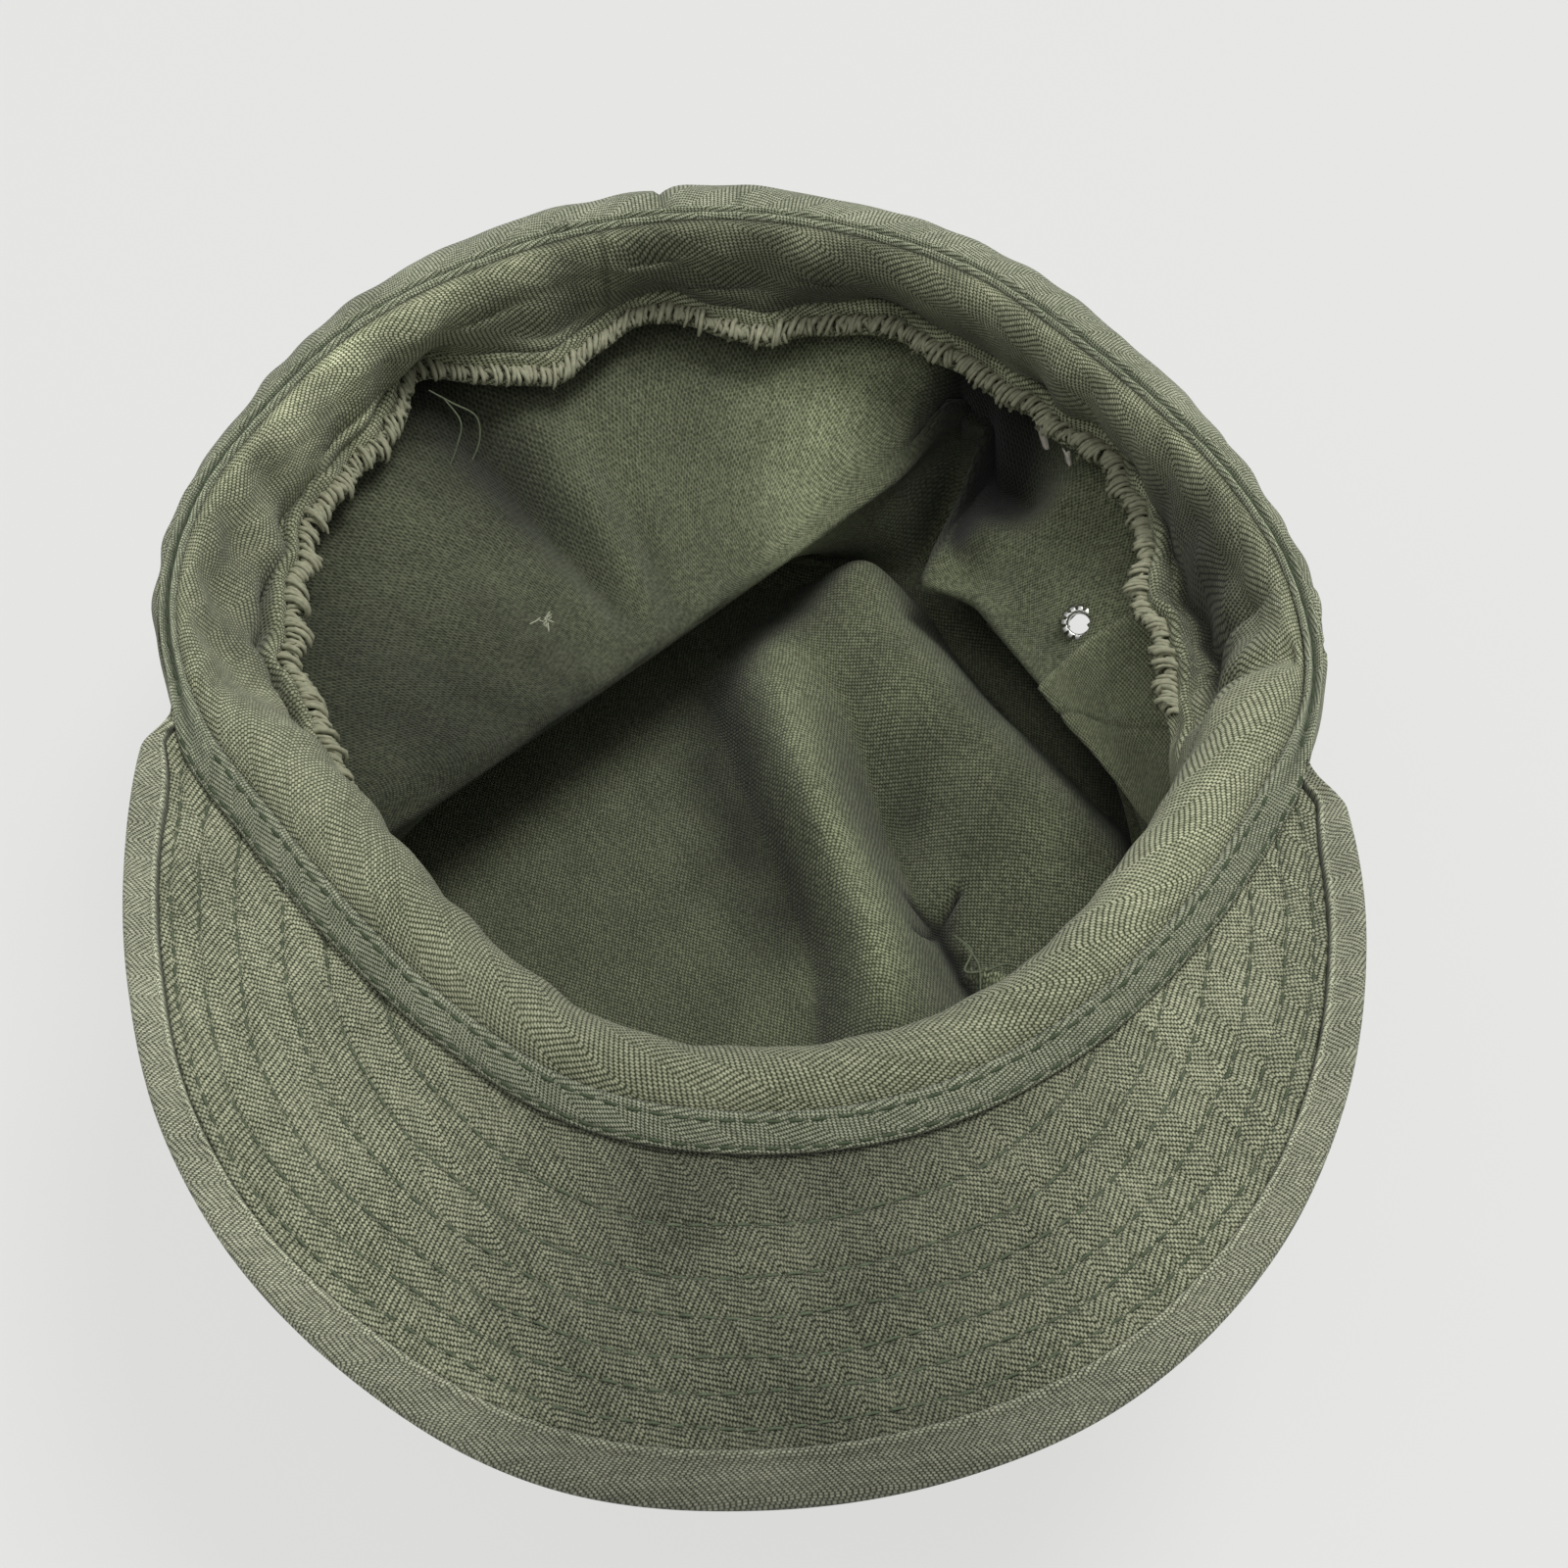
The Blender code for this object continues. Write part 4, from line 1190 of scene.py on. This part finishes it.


# A disc of chords, closer together toward its ends, with heights by topHeight. Painted highlight
# lightens the middle fold's crest, a band to its right and the slit's lip, and painted shade
# darkens the hollow left of the crest, a dimple, the slit and the right edge.
def addCrownTop():
    radius = crown["topRadius"]
    y = np.sin(np.linspace(-1.54, 1.54, 190))[:, None]
    chord = np.sqrt(1 - y**2)
    x = np.linspace(-1, 1, 190)[None] * chord
    x, y = x * radius, y * radius + 0 * x
    z = topHeight(x, y)
    points = np.stack([x, y, z], axis=-1)
    cloth = onGrain(x, y, crownTop["grain"])
    crest = smooth(y / radius, column(crownTop, "y"), column(crownTop, "midX")) * radius
    inMiddle = span(y, crownTop["crestEnds"])
    away, width, amount = crownTop["crest"]
    light = amount * bell(x - crest - away, width) * inMiddle * ease(z, 4, 12)
    away, width, amount = crownTop["hollow"]
    dark = amount * bell(x - crest - away, width) * inMiddle * ease(y, -32, -12)
    tone = crownTop["tone"] + light - dark
    # Painted light on a band right of the crest, toward the back.
    tone = tone + 0.25 * bell(x - crest - 22, 9) * ease(y, 8, 30)
    # Painted shade in a dimple right of the crest.
    tone = tone - 0.16 * bell(np.hypot(x - 30, y - 4), 8) + 0.07 * waves(43, 13.0, x, y)
    # Painted shade in the slit and painted highlight on its standing lip.
    tone = tone * (1 - 0.82 * slitDepth(x, y)) + 0.8 * slitLip(x, y)
    turn = np.degrees(np.arctan2(y, x))
    # Painted shade along the right edge, under the right fold.
    tone = tone * (1 - 0.75 * ease(np.hypot(x, y) / radius, 0.86, 0.94) * bell(turn - 15, 45))
    # The slit and the dimple are darkened again through the seam value, as painted shade.
    seam = 1.25 * slitDepth(x, y) + 0.35 * bell(np.hypot(x - 29, y - 4), 4)
    piece = surface("crownTop", points, cloth, {"tone": tone, "seam": seam})
    thicken(piece, crown["cloth"])
    paint = herringbone("crown top", crownTop["weave"])
    finishPiece(piece, paint, "crown_top_cloth", "crown_top")


addCrownTop()
print("crown top made")

# A patch that laps over the wall beside the eyelet: where it starts and ends down the wall, its
# lower side's angle, and its upper side's angle at places down the wall.
patch = {
    "thickness": 1.0,
    "lift": 1.1,
    "down": (0.20, 0.54),
    "lower": -16.0,
    "columns": ("t", "upper"),
    "rows": ((0.20, 18.0), (0.27, 18.9), (0.36, 19.6), (0.46, 19.7), (0.54, 19.0)),
    "clothRadius": 70.0,
    "grain": 30,
    "weave": {
        "light": (134, 139, 110),
        "dark": (58, 64, 44),
        "cover": 0.58,
        "relief": 0.16,
        "contrast": 0.8,
        "lint": 0.5,
        "finer": 0.95,
        "shift": 2,
    },
}


# The wall's own points lifted along its normal, with one slanting crease.
def addPatch():
    t = np.linspace(*patch["down"], 64)
    across = np.linspace(0, 1, 50)
    upper = smooth(t, column(patch, "t"), column(patch, "upper"))
    angle = patch["lower"] + (upper[:, None] - patch["lower"]) * across[None]
    spots = np.stack([crownPoints(angle[k], t[k : k + 1])[:, 0] for k in range(len(t))])
    side = np.stack([crownPoints(angle[k] + 0.5, t[k : k + 1])[:, 0] for k in range(len(t))])
    down = np.stack([crownPoints(angle[k], t[k : k + 1] + 0.005)[:, 0] for k in range(len(t))])
    normal = np.cross(side - spots, down - spots)
    normal = normal / np.linalg.norm(normal, axis=-1, keepdims=True)
    lift = crown["cloth"] / 2 + patch["lift"] + patch["thickness"] / 2
    line = t[:, None] - 0.49 + (10 - angle) * 0.019
    crease = 0.6 * bell(line, 0.010) * ease(across, 0.2, 0.5)
    lift = lift + 0.25 * waves(51, 14, spots[..., 0], spots[..., 1]) - crease
    points = spots + normal * lift[..., None]
    run = np.radians(angle) * patch["clothRadius"]
    cloth = onGrain(run, -t[:, None] * crown["clothDepth"] + 0 * angle, patch["grain"])
    edge = ease(across, 0.965, 0.985) + 0 * t[:, None]
    # Painted shade along the crease.
    seam = 0.4 * bell(line, 0.007)
    piece = surface("crownPatch", points, cloth, {"tone": 1.36 + 0.35 * edge, "seam": seam})
    thicken(piece, patch["thickness"])
    finishPiece(piece, herringbone("patch", patch["weave"]), "patch_cloth", "crown_patch")


addPatch()
print("patch made")


# The eyelet: a profile of radius and height turned round its axis, whose inner flange is crimped
# in teeth. It leans the way that it faces, and a flange lies on each side of the wall.
def addEyelet():
    centre, normal = wallFrame()
    normal = normal * np.sign(normal[2]) + np.array(eyelet["facing"])
    normal = normal / np.linalg.norm(normal)
    lift = crown["cloth"] / 2 + 0.25
    bore, flange, radius = eyelet["bore"], eyelet["flange"], eyelet["radius"]
    outside, back = bore + eyelet["wall"], -lift - 0.3
    profile = np.array([
        (bore, back),
        (bore, lift + flange * 0.6),
        (bore + 0.25, lift + flange * 1.1),
        (bore + 0.6, lift + flange * 1.15),
        (radius * 0.86, lift + flange * 0.75),
        (radius, lift + flange * 0.25),
        (radius, lift),
        (outside, lift),
        (outside, -lift),
        (radius * 0.9, -lift),
        (radius * 0.9, back),
    ])
    turn = np.radians(np.arange(0, 360, 360 / 156))[:, None]
    tooth = np.clip(np.cos(turn * eyelet["teeth"]) * 2.2 - 1.0, 0, 1)
    outer = ease(profile[None, :, 0], bore + 0.3, radius) * (profile[None, :, 1] > 0)
    r = profile[None, :, 0] - tooth * outer * eyelet["toothDeep"]
    z = profile[None, :, 1] - tooth * outer * eyelet["toothLow"]
    side = np.cross([0.0, 1.0, 0.0], normal)
    side = side / np.linalg.norm(side)
    other = np.cross(normal, side)
    points = centre + side * (r * np.cos(turn))[..., None] + other * (r * np.sin(turn))[..., None]
    points = points + normal * z[..., None]
    cloth = np.zeros((len(turn) + 1, profile.shape[0] + 1, 2))
    piece = surface("eyelet", points, cloth, closed=True, across=True)
    finishPiece(piece, plain("eyelet metal", (214, 214, 208), 0.32, 1.0), "eyelet_metal", "eyelet")


addEyelet()
print("eyelet made")

# Stitches: runs of short threads that dip into the cloth at their ends, on the peak and on the
# welt.
stitch = {"pitch": 3.3, "length": 2.5, "radius": 0.24, "sink": 0.3, "colour": (108, 119, 95)}
weltStitch = {
    "pitch": 3.4,
    "length": 2.6,
    "radius": 0.26,
    # Each row's share of the welt's width, its first and last angle and its seed.
    "rows": ((0.80, 196, 336, 91), (0.16, 200, 332, 92), (0.46, -22, 193, 93)),
    "colour": (86, 98, 74),
}

# The peak by angle: shares of its reach beyond the joint, of its lift and of its hem's width.
peak = {
    "reach": 53.0,
    "lift": 8.0,
    "inset": 3.6,
    "thickness": 3.2,
    "facing": 1.2,
    "hem": 7.4,
    "raise": 0.7,
    "columns": ("angle", "edge", "lift", "hem"),
    "rows": (
        (192.5, 0.060, 0.00, 0.20),
        (200, 0.198, 0.20, 0.70),
        (210, 0.388, 0.45, 0.72),
        (220, 0.574, 0.62, 0.74),
        (230, 0.762, 0.50, 0.76),
        (240, 0.893, 0.00, 0.84),
        (250, 0.961, -0.50, 0.95),
        (260, 1.008, -0.85, 1.00),
        (270, 1.000, -1.00, 1.00),
        (280, 0.970, -0.95, 0.98),
        (290, 0.925, -0.60, 0.92),
        (300, 0.819, -0.10, 0.88),
        (310, 0.649, 0.50, 0.84),
        (320, 0.438, 0.75, 0.78),
        (330, 0.233, 0.50, 0.70),
        (338.5, 0.060, 0.00, 0.20),
    ),
    # The two ramps by which its reach begins and ends.
    "ends": ((192.0, 196.5), (332.5, 338.5)),
    # Stitch rows: distance from the outline in the middle, and how much of it they keep at the
    # sides.
    "stitches": ((11.0, 0.66), (16.0, 0.72), (21.0, 0.84), (27.0, 0.95), (33.0, 1.0), (41.0, 1.0)),
    # The turned-in hem from its inner edge over the outline to the underside: shares of its width
    # in from the outline, and of the raise, the thickness and the corded edge's twist.
    "hemRows": (
        (1.02, 0.6, 0.0, 0.0),
        (0.995, 1.7, 0.0, 1.0),
        (0.94, 2.3, 0.0, 1.0),
        (0.88, 1.8, 0.0, 0.6),
        (0.83, 1.0, 0.0, 0.0),
        (0.70, 0.95, 0.0, 0.0),
        (0.55, 1.0, 0.0, 0.0),
        (0.40, 0.95, 0.0, 0.0),
        (0.25, 0.7, 0.0, 0.0),
        (0.12, 0.1, 0.0, 0.0),
        (0.04, 0.0, -0.16, 0.0),
        (0.00, 0.0, -0.42, 0.0),
        (0.03, 0.0, -0.66, 0.0),
        (0.10, 0.0, -0.84, 0.0),
        (0.22, 0.0, -0.94, 0.0),
    ),
    "twist": 0.14,
    "grain": -62.5,
    "weave": {"light": (190, 192, 160), "dark": (48, 56, 34), "lint": 0.5},
    "coverGrain": 4,
    "coverWeave": {
        "light": (196, 198, 170),
        "dark": (62, 66, 50),
        "contrast": 0.9,
        "finer": 0.8,
    },
}


def peakTable(name, angle):
    return smooth(angle, column(peak, "angle"), column(peak, name))


# Radius and height of the peak's upper face at a share of the way from its joint.
def peakSurface(angle, share, above=0.0):
    _, jointZ = weltEdge(angle)
    jointR = rimRadius(angle) + peak["inset"]
    jointZ = jointZ - 0.5
    edgeR = jointR + peakTable("edge", angle) * peak["reach"] * span(angle, peak["ends"])
    edgeZ = rim["height"] + peakTable("lift", angle) * peak["lift"]
    r = jointR + (edgeR - jointR) * share
    z = jointZ + (edgeZ - jointZ) * (0.35 * share + 0.65 * share**2)
    return r, z + above


# Distance from the peak's joint to its outline.
def peakWidth(angle):
    return peakTable("edge", angle) * peak["reach"] * (0.04 + 0.96 * span(angle, peak["ends"]))


# The turned-in hem's share of that distance.
def hemShare(angle):
    return np.minimum(peakTable("hem", angle) * peak["hem"] / peakWidth(angle), 0.8)


# The peak's tone, partly grime and partly painted sheen: lighter to its sides and darker in the
# middle.
def peakGrimeAndSheen(x, y):
    side = ease(np.abs(x - 2) / 88.0, 0.12, 0.85)
    return 0.43 + 0.56 * side + 0.06 * waves(61, 30.0, x, y)


# A closed section at each angle: the bed under the facing, the turned-in hem with its corded edge
# and the underside. Its tone, partly grime and partly painted sheen, is lighter toward the sides,
# and it is lighter along the corded edge.
def addPeakCover():
    angle = np.linspace(192.5, 338.5, 760)[:, None]
    hem = hemShare(angle)
    bed = -peak["facing"] - 0.3
    raised, thick = peak["raise"], peak["thickness"]
    twist = peak["twist"] * np.sin(np.radians(angle) * 120 / 0.55)
    bedRow = [(share * (1 - hem), bed) for share in (0.0, 0.35, 0.7)]
    edge = [(1 - hem * peak["hemRows"][0][0], bed)]
    for inward, high, low, turned in peak["hemRows"]:
        edge.append((1 - hem * inward, raised * high + thick * low + twist * turned))
    underRow = [(share * (1 - hem), -thick) for share in np.linspace(1, 0, 14)]
    rings = []
    for share, above in bedRow + edge + underRow:
        r, z = peakSurface(angle, share, above)
        rings.append(at(r, angle, z)[:, 0])
    points = np.stack(rings, axis=1)
    x, y = points[..., 0], points[..., 1]
    upper = np.arange(points.shape[1])[None] < len(bedRow) + 13
    cloth = onGrain(x, np.where(upper, y, -y), peak["coverGrain"])
    cloth = np.concatenate([cloth, cloth[:, :1]], axis=1)
    seam = np.zeros(points.shape[:2])
    seam[:, :5] = 0.9
    seam[:, 5] = 0.3
    # Partly grime and partly painted sheen: lighter toward the sides.
    tone = 0.48 + 0.64 * ease(np.abs(x) / 95.0, 0.1, 0.9) - 0.12 * ease(x, 20, 90)
    tone[:, 5:8] = tone[:, 5:8] * 1.45
    piece = surface("peakCover", points, cloth, {"tone": tone, "seam": seam}, across=True)
    paint = herringbone("peak cover", peak["coverWeave"])
    finishPiece(piece, paint, "peak_cloth", "peak_cover")


# Share of the peak's width where a stitch row runs: its distance from the outline, less toward
# the sides as the hem narrows.
def rowShare(angle, distance, keep):
    side = ease((peakTable("hem", angle) - 0.7) / 0.3)
    return 1 - distance * (keep + (1 - keep) * side) / peakWidth(angle)


# The peak's upper face from its joint to its hem, drawn down along each row of stitches and most
# at their holes.
def addPeakFacing():
    angle = np.linspace(194.5, 336.5, 520)[:, None]
    inner = 1 - hemShare(angle) - 0.12 / peakWidth(angle)
    t = np.linspace(0, 1, 84)[None]
    share = t * inner
    r, z = peakSurface(angle, share, -peak["facing"] / 2)
    width = peakWidth(angle)
    puff, seam = 0.0, 0.0
    for distance, keep in peak["stitches"]:
        row = rowShare(angle, distance, keep)
        away = (share - row) * width
        run = at(*peakSurface(angle, row)[:1], angle, 0)[:, 0, :2]
        run = np.concatenate([[0], np.cumsum(np.linalg.norm(np.diff(run, axis=0), axis=1))])
        hole = bell((run / stitch["pitch"] + 0.5) % 1 - 0.5, 0.13)[:, None]
        puff = puff - bell(away, 0.9) * (0.26 + 0.3 * hole)
        seam = seam + bell(away, 0.40) * (0.16 + 0.6 * hole)
    x, y, _ = np.moveaxis(at(r, angle, z), -1, 0)
    puff = puff + 0.12 * waves(62, 7.0, x, y) + 0.10 * waves(63, 16.0, x, y)
    puff = puff * ease(t, 0.0, 0.03)
    points = at(r, angle, z + puff)
    cloth = onGrain(x, y, peak["grain"])
    seam = seam + 0.5 * (1 - ease(t, 0.0, 0.02)) + 0.45 * ease(t, 0.985, 1.0)
    piece = surface("peakFacing", points, cloth, {"tone": peakGrimeAndSheen(x, y), "seam": seam})
    thicken(piece, peak["facing"])
    paint = herringbone("peak facing", peak["weave"])
    finishPiece(piece, paint, "facing_cloth", "peak_facing")


addPeakCover()
addPeakFacing()
print("peak made")


# Stitches along a dense path: each starts a pitch after the last by arc length, and rises over the
# cloth along its normal as the root of a sine.
def stitchesOn(path, normals, pitch, length, seed):
    step = np.linalg.norm(np.diff(path, axis=0), axis=1)
    arc = np.concatenate([[0], np.cumsum(step)])
    rng = np.random.default_rng(seed)
    starts = np.arange(0.5, arc[-1] - length, pitch)
    starts = starts + rng.normal(0, 0.12, len(starts))
    share = np.linspace(0, 1, 7)
    where = starts[:, None] + share[None] * length
    spots = np.stack([np.interp(where, arc, path[:, k]) for k in range(3)], axis=-1)
    up = np.stack([np.interp(where, arc, normals[:, k]) for k in range(3)], axis=-1)
    rise = np.sin(math.pi * share) ** 0.5 * stitch["sink"] - stitch["sink"] * 0.75
    return spots + up * rise[None, :, None]


# Rows that follow the outline and wander a little from it.
def addPeakStitches():
    runs = []
    for n, (distance, keep) in enumerate(peak["stitches"]):
        angle = np.linspace(195, 336, 1400)
        share = rowShare(angle, distance, keep)
        angle, share = angle[share > 0.03], share[share > 0.03]
        r, z = peakSurface(angle, share, -0.28)
        path = at(r, angle, z)
        wander = 0.25 * np.sin(np.radians(angle) * 31 + n * 2.1)
        path = path + at(wander, angle, 0 * angle)
        up = np.tile([0.0, 0.0, 1.0], (len(path), 1))
        runs.append(stitchesOn(path, up, stitch["pitch"], stitch["length"], 70 + n))
    piece = threads("peakStitches", np.concatenate(runs), stitch["radius"], 6)
    finishPiece(piece, plain("peak thread", stitch["colour"], vary=0.45), "facing_cloth")


# Rows along the welt's two edges in front and in its groove at the back.
def addWeltStitches():
    runs = []
    for share, first, last, seed in weltStitch["rows"]:
        angle = np.linspace(first, last, 3000)
        above = weltTop(angle[:, None], np.array([[share]]))[:, 0]
        path = onWelt(angle, share, above + 0.08)
        tilt = weltTilt(angle)
        up = at(np.sin(tilt), angle, np.cos(tilt))
        runs.append(stitchesOn(path, up, weltStitch["pitch"], weltStitch["length"], seed))
    piece = threads("weltStitches", np.concatenate(runs), weltStitch["radius"], 6)
    finishPiece(piece, plain("welt thread", weltStitch["colour"], vary=0.35), "welt_cloth")


addPeakStitches()
addWeltStitches()
print("stitches made")


# Loose threads: a radius each, and the points that they pass through.
loose = {
    "threads": (
        (0.20, ((-57, 71.5, 56), (-53, 72, 52), (-49, 72.5, 48), (-48.5, 70.5, 44),
                (-50.5, 68, 40), (-53.5, 66, 38))),
        (0.18, ((-54.5, 71.5, 54), (-51.5, 69, 50), (-52.5, 66.5, 46), (-54.5, 64, 42))),
        (0.22, ((6.5, 92.5, 54), (11, 89.5, 53), (15.5, 91.5, 52), (18.5, 94, 53))),
        (0.26, ((5, 92, 50), (8, 91, 53), (11, 90.5, 51), (13, 90.5, 53))),
        (0.22, ((38, -22, 6), (41, -25.5, 6), (39.5, -29.5, 5.5), (43, -30, 6),
                (47.5, -30, 8), (52.5, -35.5, 10.5))),
        (0.20, ((39.5, -23.5, 6), (42, -28.5, 6), (42, -34, 5.5))),
    ),
    "colour": (120, 128, 104),
}


# Each thread is a smooth line through its points.
def addLooseThreads():
    share = np.linspace(0, 1, 40)
    paths = [through(np.array(points), share).T for _, points in loose["threads"]]
    sizes = np.array([radius for radius, _ in loose["threads"]])[:, None]
    piece = threads("looseThreads", np.stack(paths), sizes, 6, 0.6)
    finishPiece(piece, plain("loose thread", loose["colour"], vary=0.3), "sweatband_cloth")


# Short frayed ends: where each tuft is, how wide, and how many strands.
tufts = {
    "rows": (
        ((-39.5, 91.2, 77.6), 3.5, 18),
        ((-30.5, 92.8, 77.6), 3.0, 16),
        ((-34.5, 22.0, 45.6), 0.7, 12),
    ),
    "colour": (176, 180, 156),
}


# Strands from a spread of starts, each curving off in a direction of its own.
def addTufts():
    rng = np.random.default_rng(12)
    paths = []
    for middle, wide, count in tufts["rows"]:
        for _ in range(count):
            start = np.array(middle) + rng.normal(0, 1, 3) * np.array([wide / 2, 0.5, 0.15])
            way = rng.normal(0, 1, 3) * np.array([0.8, 0.8, 0.25])
            curl = rng.normal(0, 0.5, 3) * np.array([1, 1, 0.3])
            share = np.linspace(0, 1, 7)[:, None]
            paths.append(start + way * share + curl * share**2 + [0, 0, 0.35])
    piece = threads("frayedTufts", np.stack(paths), 0.16, 5, 0.4)
    finishPiece(piece, plain("frayed thread", tufts["colour"], vary=0.2), "welt_cloth")


# Two scraps of a cut-off label below the overlocked edge, each a small folded quad: its place,
# its width and height, and its turn.
scraps = {
    "rows": ((59, 62, 49.5, 2.2, 5.4, -35), (63, 55.5, 50, 1.6, 2.8, -40)),
    "colour": (206, 200, 188),
}


# Quads that narrow downward and bulge forward across their width, in one mesh.
def addScraps():
    u, v = np.meshgrid(np.linspace(-0.5, 0.5, 9), np.linspace(-0.5, 0.5, 13))
    sheets = []
    for x, y, z, wide, tall, turn in scraps["rows"]:
        a = math.radians(turn)
        side = np.array([math.cos(a), math.sin(a), 0.0])
        down = np.array([0.25, -0.45, -0.85])
        narrow = 1 - 0.35 * (v + 0.5)
        spot = np.array([x, y, z]) + side * (u * wide * narrow)[..., None]
        spot = spot + down * (v * tall)[..., None]
        spot[..., 1] -= 0.4 * np.cos(u * 5) + 0.15 * waves(14, 1.4, u * wide, v * tall)
        sheets.append(spot)
    points = np.concatenate(sheets, axis=0)
    keep = np.ones((points.shape[0] - 1, points.shape[1] - 1), bool)
    keep[u.shape[0] - 1] = False
    piece = surface("labelScraps", points, np.zeros(points.shape[:2] + (2,)), keep=keep)
    thicken(piece, 0.25)
    finishPiece(piece, plain("label cloth", scraps["colour"], vary=0.12), "sweatband_cloth")


addLooseThreads()
addTufts()
addScraps()
print("loose threads made")


# Floor and light, which aren't part of the cap. The floor glows a little, so that it stays pale
# where the cap shades it.
studio = {
    "floor": (0.11, 0.11, 0.107, 1.0),
    "glow": (1.0, 1.0, 0.985, 1.0),
    "glowStrength": 0.665,
    "sky": (0.98, 0.99, 1.0, 1.0),
    "skyStrength": 0.43,
    # Each lamp's name, place, size and power.
    "lamps": (("key", (0.42, 0.22, 1.40), 0.6, 12.5), ("fill", (-0.5, -0.5, 1.5), 1.2, 4.5)),
}


# A pale floor under the cap, an even sky and two round lamps.
def addStage():
    bpy.ops.mesh.primitive_plane_add(size=6.0, location=(0, 0, -0.0004))
    floor = bpy.context.object
    floor.name = "floor"
    net = Net("floor")
    net.shader.inputs["Base Color"].default_value = studio["floor"]
    net.shader.inputs["Emission Color"].default_value = studio["glow"]
    net.shader.inputs["Emission Strength"].default_value = studio["glowStrength"]
    net.shader.inputs["Roughness"].default_value = 0.7
    net.shader.inputs["Specular IOR Level"].default_value = 0.2
    floor.data.materials.append(net.material)
    world = bpy.data.worlds.new("studio")
    bpy.context.scene.world = world
    world.use_nodes = True
    world.node_tree.nodes["Background"].inputs[0].default_value = studio["sky"]
    world.node_tree.nodes["Background"].inputs[1].default_value = studio["skyStrength"]
    for name, place, size, power in studio["lamps"]:
        data = bpy.data.lights.new(name, "AREA")
        data.shape = "DISK"
        data.size = size
        data.energy = power
        lamp = bpy.data.objects.new(name, data)
        lamp.matrix_world = lookFrom(place, np.array(place) / np.linalg.norm(place))
        bpy.context.scene.collection.objects.link(lamp)
    bpy.context.scene.view_settings.view_transform = "Standard"


addStage()
print("stage made")
